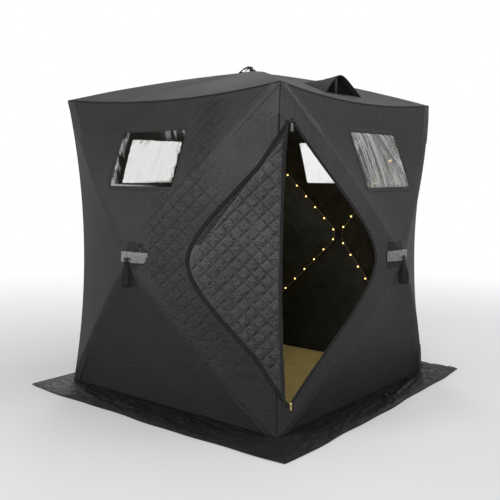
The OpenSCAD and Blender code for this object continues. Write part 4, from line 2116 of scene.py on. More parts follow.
def clip(polygon: Points, line: float, right: bool) -> Points:
    """Part of a convex outline on one side of an upright line.

    Args:
        polygon: Rows of its corners in order.
        line: First coordinate of the line.
        right: Whether the part right of the line stays.

    Returns:
        Corners of the part in order.
    """
    sign = 1.0 if right else -1.0
    kept = []
    for start, end in zip(polygon, np.roll(polygon, -1, axis=0)):
        a, b = sign * (start[0] - line), sign * (end[0] - line)
        if a >= 0:
            kept.append(start)
        if a * b < 0:
            kept.append(start + (end - start) * a / (a - b))
    return np.array(kept)


@dataclass
class Door(Trade):
    """The corner door: the zipped half, the half folded in behind it, the zip, the hem and the storm flap.

    Attributes:
        hem: Width of the hem on each face of the fold.
        roll: Radius of the fold.
        flap_seam: Flat places of the lower and upper end of the storm flap's straight seam.
        block: Left, right, lower and upper limit of the cloth that the halves are cut from.
        folded_depth: How far the folded half lies behind the zipped one.
        relief: The quilting's relief.
    """

    hem: float = 0.017
    roll: float = 0.0075
    flap_seam: tuple[tuple[float, float], tuple[float, float]] = ((0.4586, 1.0756), (0.9473, 1.6997))
    block: tuple[float, float, float, float] = (0.33, 0.99, 0.10, 1.87)
    folded_depth: float = 0.0088
    relief: QuiltRelief = QuiltRelief(puff=0.0085, crinkle=0.0050, fold=0.0060, seed=Seed.DOOR, flatness=0.62)

    def __post_init__(self) -> None:
        """Works out the seam's direction and the one across it, and the corners of the cloth."""
        self.seam = np.array(self.flap_seam)
        self.along = unit(self.seam[1] - self.seam[0])
        self.side = np.array([-self.along[1], self.along[0]])
        left, right, low, high = self.block
        self.corners = np.array([[left, low], [right, low], [right, high], [left, high]])

    def wrapped(self, name: str, corners: Points, outline: Points, cells: int) -> list[SewnPanel]:
        """Cuts a panel inside an outline in two parts that meet at the hut's corner.

        Args:
            name: Name of the piece.
            corners: Convex shape on the unrolled cloth.
            outline: Outline inside which it stays.
            cells: Lattice steps in a diamond's side.

        Returns:
            The flat parts, the front wall's first.
        """
        parts = []
        for word, right in (("front", False), ("right", True)):
            panel = SewnPanel(f"{name}_{word}", WALLS, clip(corners, SIZES.half, right), cells)
            panel.punch(outline, keep=True)
            parts.append(panel)
        return parts

    def sew(self, name: str, parts: Sequence[SewnPanel], height: Place, **marks: Place) -> Thing:
        """Stretches the parts and joins them at the corner.

        Args:
            name: Name of the joined piece.
            parts: Flat parts.
            height: Relief at flat places.
            marks: What each attribute is at flat places.

        Returns:
            The joined sheet, still without thickness.
        """
        for panel in parts:
            panel.stretch(height, **marks)
        piece = Bench.join(name, [panel.piece for panel in parts])
        Bench.weld(piece, 0.0004)
        return piece

    def panel(self) -> None:
        """The zipped half, quilted up to the storm flap and the hem."""
        inset = -0.003
        parts = self.wrapped("door_panel", self.corners, DOOR.closed_half(inset, self.roll), 12)
        edge = DOOR.flat(inset)

        def inner(flat: Points) -> Points:
            """Distance to the fold's hem."""
            return DOOR.fold(flat[:, 1]) - self.roll - self.hem - flat[:, 0]

        def shade(flat: Points) -> Points:
            """Strength of the quilting: none under the flap or in the hem."""
            under = smooth(0.0, -0.014, (flat - self.seam[0]) @ self.side)
            return under * smooth(0.0, 0.010, inner(flat)) * smooth(0.004, 0.022, edge_distance(flat, edge))

        def height(flat: Points) -> Points:
            """Relief of the quilting, fading out at the zip and the fold."""
            away = np.minimum(edge_distance(flat, edge), inner(flat) + self.hem + 0.004)
            return self.relief.height(flat, shade(flat), smooth(0.0, 0.028, away))

        # The door cloth is painted lighter than the walls' cloth as painted light, and "shade" paints shade towards the
        # door's foot.
        marks = {"quilt": shade, "shade": lambda flat: smooth(1.3, 0.2, flat[:, 1])}
        piece = self.sew("door_panel_cloth", parts, height, **marks)
        Bench.dress(piece, self.finishes.door, self.finishes.lining)
        Bench.thicken(piece, SIZES.cloth, lining=True)
        Bench.soften(piece, Crisp.ROUND)
        declare(piece, parts)
        ride(piece, "door_fabric", "door_panel")

    def folded(self) -> None:
        """The open half, folded in flat behind the zipped one."""
        outline = DOOR.closed_half(-0.016, self.roll)
        parts = self.wrapped("door_folded", self.corners, outline, 4)

        def height(flat: Points) -> Points:
            """Depth behind the zipped half.

            Args:
                flat: Rows of flat coordinates.

            Returns:
                Heights in metres.
            """
            away = smooth(0.0, 0.03, edge_distance(flat, outline))
            relief = self.relief.height(flat, np.ones(len(flat)), away)
            return -self.folded_depth + 0.4 * np.minimum(relief - 0.003, 0)

        piece = self.sew("door_folded_cloth", parts, height, quilt=lambda flat: np.full(len(flat), 0.8))
        Bench.dress(piece, self.finishes.lining, self.finishes.door)
        Bench.thicken(piece, SIZES.cloth, lining=True)
        Bench.soften(piece)
        declare(piece, parts)
        ride(piece, "door_fabric", "door_panel_folded")

    def fold_hem(self) -> None:
        """Bound edge where the door is folded: down the outer face, round the fold and back behind."""
        low, high = SIZES.door_bottom + 0.006, SIZES.door_top - 0.006
        radius, flatness = self.roll, self.hem
        width = 2 * flatness + math.pi * radius

        def place(rows: Points) -> Points:
            """The hem's face.

            Args:
                rows: Rows of a share along the strip and metres across it.

            Returns:
                Rows of x, y, z.
            """
            z = low + rows[:, 0] * (high - low)
            reach = rows[:, 1] + width / 2
            turn = np.clip((reach - flatness) / radius, 0, math.pi)
            start = DOOR.fold(z) - radius
            wave = 0.0010 * np.sin(z * 23) + 0.0007 * np.sin(z * 61 + 1)
            flat = np.minimum(reach, flatness) - flatness - np.maximum(reach - flatness - math.pi * radius, 0)
            height = 0.0016 - radius + radius * np.cos(turn) + wave * 0.5 - 0.0012 * smooth(0.008, 0.0, reach)
            skin = WALLS.surface(stack(start + flat + wave, z))
            normal = WALLS.normal(stack(start - 0.004, z))
            return skin + normal * height[:, None] + (radius * np.sin(turn))[:, None] * np.array([0.0, 1.0, 0.0])

        strip = Band("door_fold_hem", place, high - low, width, columns=22)
        ride(strip.build((0.0, 1.0, 0.0), self.finishes.trim), "door_fabric")

    def flap(self) -> None:
        """Smooth storm flap between the zip and its straight seam."""
        left, right, high = 0.30, 0.99, 1.86
        corners = np.array([*self.seam, [right, 1.76], [right, high], [left, high], [left, self.seam[0][1]]])
        outline = DOOR.closed_half(-0.010, self.roll)
        parts = self.wrapped("storm_flap", corners, outline, 8)
        noise = CreaseNoise(Seed.FLAP)

        def height(flat: Points) -> Points:
            """Creases across the flap and a stitched bead along its edges.

            Args:
                flat: Rows of flat coordinates.

            Returns:
                Heights in metres.
            """
            run, over = (flat - self.seam[0]) @ self.along, (flat - self.seam[0]) @ self.side
            edge = np.minimum(edge_distance(flat, outline), np.abs(over))
            creases = noise.folds(run * 34 + 50, over * 14 + 20, 2) * 0.0050 * smooth(0.0, 0.012, edge)
            return 0.0016 + creases + 0.0016 * bead(edge - 0.003, 0.003)

        piece = self.sew("door_storm_flap", parts, height, quilt=lambda flat: np.ones(len(flat)))
        Bench.dress(piece, self.finishes.flap)
        Bench.thicken(piece, 0.0010, outward=True)
        Bench.soften(piece)
        ride(piece, "door_fabric")

    def zip_band(
        self, name: str, path: ClothPath, middle: float, width: float, low: float, crown: float, finish: Material
    ) -> Thing:
        """Tape or coil of the zip along a part of the door's edge.

        Args:
            name: Name of the piece.
            path: Line that it follows.
            middle: Distance of its middle from the line, to the line's right.
            width: Its width.
            low: Height of its edges over the cloth.
            crown: How much its middle is higher.
            finish: Its material.

        Returns:
            The band.
        """

        def place(rows: Points) -> Points:
            """The band's face."""
            bulge = crown * np.sqrt(np.maximum(1 - (2 * rows[:, 1] / width) ** 2, 0))
            return WALLS.lift(path.at(rows[:, 0], rows[:, 1] + middle), low + bulge)

        strip = Band(name, place, path.length, width, thick=0.0008, step=0.009, columns=6)
        return strip.build((1.0, -1.0, 0.0), finish)

    def zip(self) -> None:
        """The zip round the door: closed on the left half, one tape on the open right half."""
        outline = DOOR.flat()
        steps = len(outline) // 2
        opened = ClothPath(outline[: steps + 1])
        closed = ClothPath(np.concatenate([outline[steps:], outline[:1]]))
        tape, coil = self.finishes.tape, self.finishes.zip
        ride(self.zip_band("zip_tape_closed", closed, 0.0, 0.024, 0.0006, 0.0006, tape), "zip", "door_zip")
        ride(self.zip_band("zip_coil_closed", closed, 0.0, 0.006, 0.0012, 0.0014, coil), "zip")
        ride(self.zip_band("zip_tape_open", opened, 0.0050, 0.010, 0.0008, 0.0004, tape), "zip")
        ride(self.zip_band("zip_coil_open", opened, -0.0005, 0.0060, 0.0004, 0.0022, coil), "zip")

    def slider(self) -> None:
        """Zip slider with its ring and pull at the foot of the opening."""
        foot = WALLS.lift(np.array([[DOOR.middle + 0.006, SIZES.door_bottom + 0.016]]), 0.004)[0]
        body = Bench.block("zip_slider", (0, 0, 0), (0.013, 0.008, 0.019), 0.0022)
        ring = Bench.torus("zip_slider_ring", (0.0055, 0.0012), (0, -0.004, -0.010), lean=math.pi / 2)
        pull = Bench.block("zip_slider_pull", (0, -0.005, -0.024), (0.008, 0.0022, 0.022), 0.0009, 2)
        piece = Bench.join("zip_slider", [body, ring, pull])
        Bench.move(piece, turned(Bench.points(piece), 0.5) + foot)
        Bench.dress(piece, self.finishes.metal)
        Bench.soften(piece, Crisp.METAL)
        ride(piece, "zip")

    def tab(self) -> None:
        """Ribbed grey pull tab in a black rim, hanging at the top of the fold, turned half round."""
        low, high = (np.array(v, float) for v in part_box("door_zip_tab"))
        tall = high[2] - low[2] + 0.006
        rim = Bench.block("door_pull_tab", (0, 0, 0), (0.027, 0.0044, tall), 0.0018)
        Bench.pick(rim, lambda face: face.normal.y < -0.99)
        bpy.ops.mesh.inset(thickness=0.0066, depth=-0.0012)
        Bench.close()
        Bench.dress(rim, self.finishes.webbing)
        rib = Bench.block("rib", (0, 0, 0), (0.0115, 0.0024, 0.0046), 0.0010, 2)
        Bench.dress(rib, self.finishes.silver)
        shape, count = Bench.points(rib), 9
        heights = (np.arange(count) - (count - 1) / 2) * (tall - 0.016) / count
        spots = [shape + np.array([0, -0.0018, z]) for z in heights]
        ribs = [Bench.copy(rib, f"rib_{number}", spot) for number, spot in enumerate(spots)]
        bpy.data.objects.remove(rib)
        piece = Bench.join("door_pull_tab", [rim, *ribs])
        Bench.move(piece, turned(Bench.points(piece), 0.5) + (low + high) / 2 + np.array([0.006, -0.005, 0.0]))
        Bench.soften(piece, Crisp.METAL)
        ride(piece, "zip_tab", "door_zip_tab")

    def build(self) -> None:
        """Builds the door."""
        for work in (self.panel, self.folded, self.fold_hem, self.flap, self.zip, self.slider, self.tab):
            work()


@dataclass(frozen=True)
class WindowCreases:
    """Folds of one vinyl pane, over its width and height in shares from -1 to 1.

    Attributes:
        upright: Height of upright folds in metres.
        corner: Height of slanted folds in the top corner.
        side: Height of folds along the left edge and the foot.
        cloud: How cloudy the creased vinyl is; the cloudiness is partly painted glare.
    """

    upright: float
    corner: float
    side: float
    cloud: float

    def crests(self, x: Points, y: Points) -> tuple[Points, Points, Points]:
        """Upright, slanted and edge folds, each from 0 to 1.

        Args:
            x: Shares of the width.
            y: Shares of the height.

        Returns:
            The three kinds of folds.
        """
        noise = CreaseNoise(Seed.VINYL)
        across = 2 * x + y
        upright = noise.folds(x * 8.0 + 9 + 0.5 * y, y * 0.5 + 3, 2) * smooth(1.15, 0.75, across)
        slant = noise.folds(across * 3.6 + 30, (x - 2 * y) * 0.35 + 8, 2) * smooth(0.75, 1.15, across)
        border = smooth(-0.72, -0.95, x)
        return upright, slant, noise.folds(x * 24 + y * 7 + 50, y * 2 + 70, 2) ** 2 * border

    def height(self, x: Points, y: Points) -> Points:
        """Height of the folds."""
        upright, slant, lower = self.crests(x, y)
        return self.upright * upright + self.corner * slant + self.side * lower

    def haze(self, x: Points, y: Points) -> Points:
        """Cloudiness from 0 to 1, strongest in the folds; partly the vinyl's own haze, partly painted glare on the
        folds.

        Args:
            x: Shares of the width.
            y: Shares of the height.

        Returns:
            The cloudiness, partly painted glare.
        """
        upright, slant, lower = self.crests(x, y)
        clear_stripe = smooth(-0.74, -0.80, x) * smooth(0.50, 0.42, y)
        # Painted glare together with the vinyl's own cloudiness: milky creases, milky folds at the left edge, a band
        # along the foot and slanted folds at the top.
        creased = (0.14 + 1.1 * np.maximum(upright, slant) ** 2) * (1 - clear_stripe)
        foot = 0.75 * smooth(-0.86, -0.94, y) * smooth(0.6, -0.4, x)
        folded = 0.9 * lower + foot + 0.5 * slant**2 * smooth(0.55, 0.95, y)
        return np.clip(self.cloud * creased + (1 - self.cloud) * folded, 0, 1)


@dataclass
class Windows(Trade):
    """The four windows: vinyl panes and the cloth frames sewn round them.

    Attributes:
        front: Folds of the front pane.
        right: Folds of the right pane.
        far: Folds of the two far panes.
        hidden: Width of the pane's border that the seam holds.
    """

    front: WindowCreases = WindowCreases(0.0, 0.0030, 0.0060, 0.0)
    right: WindowCreases = WindowCreases(0.0110, 0.0100, 0.0, 0.80)
    far: WindowCreases = WindowCreases(0.0, 0.0015, 0.0015, 0.04)
    hidden: float = 0.005

    def pane(self, side: Side) -> None:
        """One pane, a little larger than its opening, so that it is held in the seam.

        Args:
            side: The wall.
        """
        outline = window_outline(side, self.hidden)
        low, high = outline.min(axis=0) - 0.004, outline.max(axis=0) + 0.004
        corners = np.array([low, [high[0], low[1]], high, [low[0], high[1]]])
        panel = SewnPanel(f"{side.word}_window_pane", WALLS, corners, 9 if side.near else 4)
        panel.punch(outline, keep=True)
        middle, reach = (low + high) / 2, (high - low) / 2
        folds = {Side.FRONT: self.front, Side.RIGHT: self.right}.get(side, self.far)

        def shares(flat: Points) -> Points:
            """Places on the pane from -1 to 1 each way."""
            return ((flat - middle) / reach).T

        def height(flat: Points) -> Points:
            """The folds, held flat at the seam."""
            return -0.0032 + folds.height(*shares(flat)) * smooth(0.004, 0.022, edge_distance(flat, outline))

        # Milky haze on the pane, partly the vinyl's own cloudiness and partly painted glare on its folds.
        panel.stretch(height, cloud=lambda flat: folds.haze(*shares(flat)))
        panel.close(0.0008, self.finishes.cloudy if side is Side.RIGHT else self.finishes.clear)
        declare(panel.piece, [panel])
        ride(panel.piece, "clear_vinyl", f"{side.word}_window")

    def surround(self, side: Side) -> None:
        """Cloth frame sewn round the opening.

        Args:
            side: The wall.
        """
        path = ClothPath(window_outline(side), closed=True)

        def place(rows: Points) -> Points:
            """The frame's face, rolled into the opening at its inner edge, with a bead on the outer one.

            Args:
                rows: Rows of a share along the strip and metres across it.

            Returns:
                Rows of x, y, z.
            """
            inner = smooth(-0.004, -0.013, rows[:, 1])
            pucker = 0.0005 * np.sin(rows[:, 0] * path.length / 0.006) * smooth(0.006, 0.012, np.abs(rows[:, 1]))
            swell = 0.0012 * bead(rows[:, 1] - 0.0105, 0.002)
            return WALLS.lift(path.at(rows[:, 0], rows[:, 1] + 0.0120), 0.0010 - 0.0045 * inner + pucker + swell)

        size = {"thick": 0.0006, "step": 0.011, "columns": 14}
        strip = Band(f"{side.word}_window_frame", place, path.length, 0.028, closed=True, **size)
        ride(strip.build(side.out, self.finishes.frame), "wall_fabric")

    def build(self) -> None:
        """Builds the windows."""
        for side in Side:
            self.pane(side)
            self.surround(side)


@dataclass
class SnowSkirt(Trade):
    """The wide snow skirt that lies creased on the ground round the hut.

    Attributes:
        cell: Length of a cell of its cloth.
        thick: Thickness of the cloth.
        outer: Distance of its outer edge from the hut's middle, before it is warped.
        under: How far it reaches in under the walls.
        pipe: Radius of the piping.
        edges: For each wall, what its edge is further out at its left and right end, and between them.
    """

    cell: float = 0.0102
    thick: float = 0.0022
    outer: float = SIZES.half + SIZES.skirt
    under: float = 0.004
    pipe: float = 0.0032
    edges: tuple[Spot, Spot, Spot, Spot] = (
        (-0.001, 0.006, 0.030),
        (-0.007, -0.063, 0.026),
        (0.029, 0.000, 0.0),
        (-0.050, -0.077, 0.0),
    )

    def reach(self, side: Side, share: Points) -> Points:
        """Distance of the skirt's outer edge from the hut's middle.

        Args:
            side: Wall that the edge runs along.
            share: Share along it from -1 to 1.

        Returns:
            The distances.
        """
        low, high, belly = self.edges[side.value]
        wave = 0.006 * np.sin(share * 7.3 + side.value * 2) + 0.003 * np.sin(share * 17 + side.value)
        return self.outer + low + (high - low) * (share + 1) / 2 + (belly + wave) * (1 - share**4)

    def warp(self, flat: Points) -> Points:
        """Flat places moved so that the outer edge has its real, uneven outline.

        Args:
            flat: Rows of flat coordinates.

        Returns:
            Rows of x and y.
        """
        x, y = flat.T
        radius = np.maximum(np.abs(x), np.abs(y))
        grown = smooth(SIZES.half, self.outer, radius)
        result = flat.copy()
        for side in Side:
            local = turned(stack(x, y, 0), -side.value)
            push = (self.reach(side, local[:, 0] / self.outer) - self.outer) * grown
            weight = smooth(0.85, 1.0, -local[:, 1] / np.maximum(radius, 1e-9))
            result = result + (push * weight)[:, None] * side.out[:2]
        return result

    def height(self, flat: Points) -> Points:
        """Height of the creases over the ground: broad waves, sharp folds along the hut and fine crumples.

        Args:
            flat: Rows of flat coordinates.

        Returns:
            Heights in metres.
        """
        x, y = flat.T
        noise = CreaseNoise(Seed.SKIRT)
        radius = np.maximum(np.abs(x), np.abs(y))
        share = np.clip((radius - SIZES.half) / SIZES.skirt, 0, 1)
        front = np.abs(y) > np.abs(x)
        along, out = np.where(front, x, y), np.where(front, y, x)
        broad = noise.rough(x * 5 + 40, y * 5 + 40, 2)
        ridge = noise.folds(along * 4 + 60, out * 17 + along * 3 + 60, 3)
        fine = noise.folds(along * 13 + out * 8 + 60, out * 38 - along * 6 + 90, 2)
        tiny = noise.folds(x * 47 + y * 20 + 30, y * 52 - x * 18 + 70, 2)
        calm = 1 - 0.65 * smooth(-0.60, -0.92, x)
        tall = (0.004 + 0.009 * broad + 0.013 * ridge + 0.007 * fine + 0.0022 * tiny) * calm
        belly = 0.35 + 0.65 * np.sin(math.pi * share) ** 0.7
        return self.thick + 0.0005 + tall * belly * smooth(1.02, 0.90, share) + 0.006 * smooth(0.25, 0.0, share)

    def build(self) -> None:
        """Builds the skirt and the piping on its edge."""
        count = 2 * round(self.outer / self.cell)
        piece = Bench.grid("snow_skirt_cloth", count, count)
        Bench.move(piece, Bench.points(piece) * self.outer)
        hole = SIZES.half - self.under - self.cell / 2
        Bench.pick(piece, lambda face: max(abs(face.center.x), abs(face.center.y)) < hole)
        bpy.ops.mesh.delete(type="FACE")
        Bench.close()
        flat = Bench.points(piece)[:, :2].copy()
        Bench.map_cloth(piece, flat)
        Bench.note(piece, quilt=np.zeros(len(flat)))
        area, side = sum(face.area for face in piece.data.polygons), 2 * self.outer
        Bench.move(piece, stack(*self.warp(flat).T, self.height(flat)))
        Bench.dress(piece, self.finishes.skirt)
        Bench.thicken(piece, self.thick)
        Bench.soften(piece, Crisp.CRUMPLED)
        max(area, 0.3 * side * side)
        ride(piece, "skirt_fabric", "snow_skirt")
        self.piping()

    def piping(self) -> None:
        """Adds the rolled piping along the outer edge."""
        corner = np.array([self.outer, self.outer])
        path = ClothPath(corner * np.array([[1, -1], [1, 1], [-1, 1], [-1, -1]]), closed=True)
        radius = self.pipe
        piece = Bench.grid("snow_skirt_piping", math.ceil(path.length / 0.015), 8)
        rows = Bench.points(piece)
        turn = rows[:, 1] * math.pi
        spots = path.at((rows[:, 0] + 1) / 2, np.zeros(len(rows)))
        way = unit(spots)
        centre = stack(*(self.warp(spots) - way * radius * 0.5).T, radius + 0.0004)
        Bench.move(piece, centre + stack(way[:, 0] * np.cos(turn), way[:, 1] * np.cos(turn), np.sin(turn)) * radius)
        Bench.weld(piece, 1e-5)
        Bench.outward(piece)
        Bench.dress(piece, self.finishes.binding)
        Bench.soften(piece, Crisp.CRUMPLED)
        ride(piece, "skirt_fabric")


@dataclass
class FloorMat(Trade):
    """The tan foam mat on the hut's floor.

    Attributes:
        edge: Width of its rounded edge.
        worn: Height of the wear on its top.
    """

    edge: float = 0.006
    worn: float = 0.0035

    def build(self) -> None:
        """Builds the mat: a slab with rounded edges, worn a little uneven."""
        low, high = (np.array(v, float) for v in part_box("floor_mat"))
        piece = Bench.block("foam_mat", (low + high) / 2, high - low, self.edge)
        Bench.pick(piece, lambda face: face.normal.z > 0.99)
        bpy.ops.mesh.subdivide(number_cuts=40)
        Bench.close()
        spots = Bench.points(piece)
        wear = self.worn * (CreaseNoise(Seed.MAT).rough(spots[:, 0] * 4 + 40, spots[:, 1] * 4 + 40, 3) - 0.9)
        spots[:, 2] += np.where(spots[:, 2] > high[2] - 0.001, wear, 0)
        Bench.move(piece, spots)
        Bench.dress(piece, self.finishes.foam)
        Bench.soften(piece, Crisp.PLASTIC)
        ride(piece, "mat", "floor_mat")


@dataclass
class HubTrim(Trade):
    """What is sewn and screwed on at the hubs: cover cloth, reflective patch, ring with prongs and pull strap.

    Attributes:
        cover: Width and height of the cover cloth.
        cover_middle: Its middle from the hub, right and up.
        patch_size: Width and height of the patch.
        patch_middle: Its middle from the hub, right and up.
        patch_rim: What the rim shows of the cloth round the patch, on both sides together.
        tab_lift: Height of the strap's tab over the hub.
        strap_thick: Thickness of the webbing.
        gape: How far the strap's loop stands open.
        roof_turn: Quarter turns of the roof hub's trim, which point its strap to the left.
        roof_rise: Height by which that strap stands up.
    """

    cover: tuple[float, float] = (0.150, 0.160)
    cover_middle: tuple[float, float] = (0.060, 0.025)
    patch_size: tuple[float, float] = (0.205, 0.072)
    patch_middle: tuple[float, float] = (0.040, 0.016)
    patch_rim: float = 0.009
    tab_lift: float = 0.0045
    strap_thick: float = 0.0025
    gape: float = 0.030
    roof_turn: float = -105 / 90
    roof_rise: float = 0.036

    def sewn(
        self, name: str, side: Side, middle: Points, size: tuple[float, float], lift: float, finish: Material
    ) -> Thing:
        """Rectangle of cloth sewn over a wall hub, with a bead at its rim.

        Args:
            name: Name of the piece.
            side: The wall.
            middle: Its middle from the hub, right and up.
            size: Its width and height.
            lift: Height of its inner face over the wall's cloth.
            finish: Its material.

        Returns:
            The rectangle.
        """
        hub = np.array([side.middle, SIZES.hub_height])

        def place(rows: Points) -> Points:
            """The rectangle's face, with its rim pressed down by the stitches.

            Args:
                rows: Rows of a share along the strip and metres across it.

            Returns:
                Rows of x, y, z.
            """
            x, y = (rows[:, 0] * 2 - 1) * size[0] / 2, rows[:, 1]
            edge = np.minimum(size[0] / 2 - np.abs(x), size[1] / 2 - np.abs(y))
            pucker = 0.0008 * np.sin(x * 190 + y * 60) * np.sin(y * 170 - x * 50)
            return WALLS.lift(hub + middle + stack(x, y), lift + (0.0010 + pucker) * smooth(0.0, 0.008, edge))

        step = 0.006
        strip = Band(name, place, *size, thick=0.0008, step=step, columns=round(size[1] / step))
        return strip.build(side.out, finish)

    def loop(self, name: str) -> Thing:
        """Pull strap in the frame of a hub: X across, Y up the wall and Z out of it.

        Args:
            name: Name of the piece.

        Returns:
            The strap, hanging down -Y.
        """
        start = SIZES.ring / 2
        length = SIZES.strap_length - start - 2 * self.strap_thick

        def place(rows: Points) -> Points:
            """The webbing's outer face: from the tab down the front, round the foot and up the back.

            Args:
                rows: Rows of a share along the strip and metres across it.

            Returns:
                Rows of x, y, z.
            """
            u = 1 - np.abs(rows[:, 0] * 2 - 1)
            out = np.where(rows[:, 0] < 0.5, 1.0, -1.0) * (self.gape / 2) * np.sin(math.pi * u**1.2)
            twist = -0.75 * smooth(0.0, 0.35, u) * rows[:, 1]
            down = start + 0.002 + np.sin(u * math.pi / 2) * length
            return stack(rows[:, 1], -down, self.tab_lift + 0.0035 + out + twist)

        strip = Band(name, place, 2 * length, SIZES.strap_width, thick=self.strap_thick, step=0.005)
        piece = strip.build((0.0, 0.0, 1.0), self.finishes.webbing)
        Bench.outward(piece)
        size = (SIZES.strap_width, SIZES.ring + 0.006, 0.005)
        tab = Bench.block("tab", (0, -0.003, self.tab_lift + 0.003), size, 0.0016)
        Bench.dress(tab, self.finishes.webbing)
        return Bench.join(name, [piece, tab])

    def ring(self, name: str) -> Thing:
        """Ring, button, two prongs and a small loop in the frame of a hub.

        Args:
            name: Its name.

        Returns:
            The ring.
        """
        tall = self.tab_lift + 2 * self.strap_thick + 0.0045
        parts = [Bench.torus(name, (0.0105, 0.004), (0, 0, tall), (32, 12))]
        parts.append(Bench.rod("button", 28, 0.0085, 0.006, (0, 0, tall - 0.001)))
        Bench.pick(parts[-1], lambda face: face.normal.z > 0.9)
        bpy.ops.mesh.inset(thickness=0.0025, depth=-0.0015)
        bpy.ops.mesh.inset(thickness=0.0018, depth=0.0020)
        Bench.close()
        parts.append(Bench.torus("small_loop", (0.0062, 0.0016), (0.0345, 0.008, tall - 0.002)))
        for turn, long in ((0.35, 0.022), (-0.30, 0.026)):
            prong = Bench.rod("prong", 10, 0.0022, long, lean=math.pi / 2)
            Bench.edit(prong)
            bpy.ops.mesh.bevel(offset=0.0006, segments=2, affect="EDGES")
            Bench.close()
            spots = Bench.points(prong) + np.array([0.010 + long / 2, 0, tall + 0.001])
            Bench.move(prong, turned(spots, turn / (math.pi / 2)))
            parts.append(prong)
        piece = Bench.join(name, parts)
        Bench.dress(piece, self.finishes.plastic)
        Bench.soften(piece, Crisp.PLASTIC)
        return piece

    @staticmethod
    def on_wall(points: Points, side: Side) -> Points:
        """Points of a hub's frame put on a wall, mirrored on the right and the left one."""
        x, y, z = points.T
        return turned(stack(x * side.hand, -SIZES.half - SIZES.hub_reach - z, SIZES.hub_height + y), side.value)

    def on_roof(self, points: Points, rise: float) -> Points:
        """Points of a hub's frame put on the roof hub, with the strap turned towards the left.

        Args:
            points: Rows in the hub's frame.
            rise: Height by which the strap stands up where it leaves the hub.

        Returns:
            Rows in the hut's frame.
        """
        x, y, z = points.T
        away = np.maximum(-y - SIZES.ring / 2, 0)
        arch = rise * smooth(0.0, 0.020, away) * (1 - away / SIZES.strap_length)
        return turned(stack(x, y, SIZES.eave + SIZES.roof_rise - 0.002 + z + arch), self.roof_turn)

    def build(self) -> None:
        """Builds the trim of all hubs."""
        look = self.finishes
        loop, ring = self.loop("strap_model"), self.ring("ring_model")
        patches, rings, loops = [], [], []
        for side in Side:
            mirror = np.array([side.hand, 1])
            behind, middle = mirror * self.cover_middle, mirror * self.patch_middle
            inner = tuple(length - self.patch_rim for length in self.patch_size)
            cover = self.sewn(f"{side.word}_hub_cover", side, behind, self.cover, 0.0006, look.trim)
            ride(cover, "wall_fabric")
            rim = self.sewn(f"{side.word}_patch_rim", side, middle, self.patch_size, 0.0020, look.binding)
            ride(rim, "reflective_patch")
            patches.append(self.sewn(f"{side.word}_patch", side, middle, inner, 0.0029, look.silver))
            rings.append(Bench.copy(ring, f"{side.word}_hub_ring", self.on_wall(Bench.points(ring), side)))
            loops.append(Bench.copy(loop, f"{side.word}_strap", self.on_wall(Bench.points(loop), side)))
        rings.append(Bench.copy(ring, "roof_hub_ring", self.on_roof(Bench.points(ring), 0)))
        strap = Bench.copy(loop, "roof_pull_loop", self.on_roof(Bench.points(loop), self.roof_rise))
        for spare in (loop, ring):
            bpy.data.objects.remove(spare)
        joined = [Bench.join("hub_ring_set", rings), Bench.join("wall_pull_loops", loops), strap]
        for piece in joined:
            Bench.outward(piece)
            Bench.soften(piece, Crisp.PLASTIC)
        ride(Bench.join("hub_patch_set", patches), "reflective_patch", "hub_patches")
        nodes = (("hub_plastic", "hub_rings"), ("webbing", "wall_pull_straps"), ("webbing", "roof_pull_strap"))
        for piece, (slot, node) in zip(joined, nodes):
            ride(piece, slot, node)


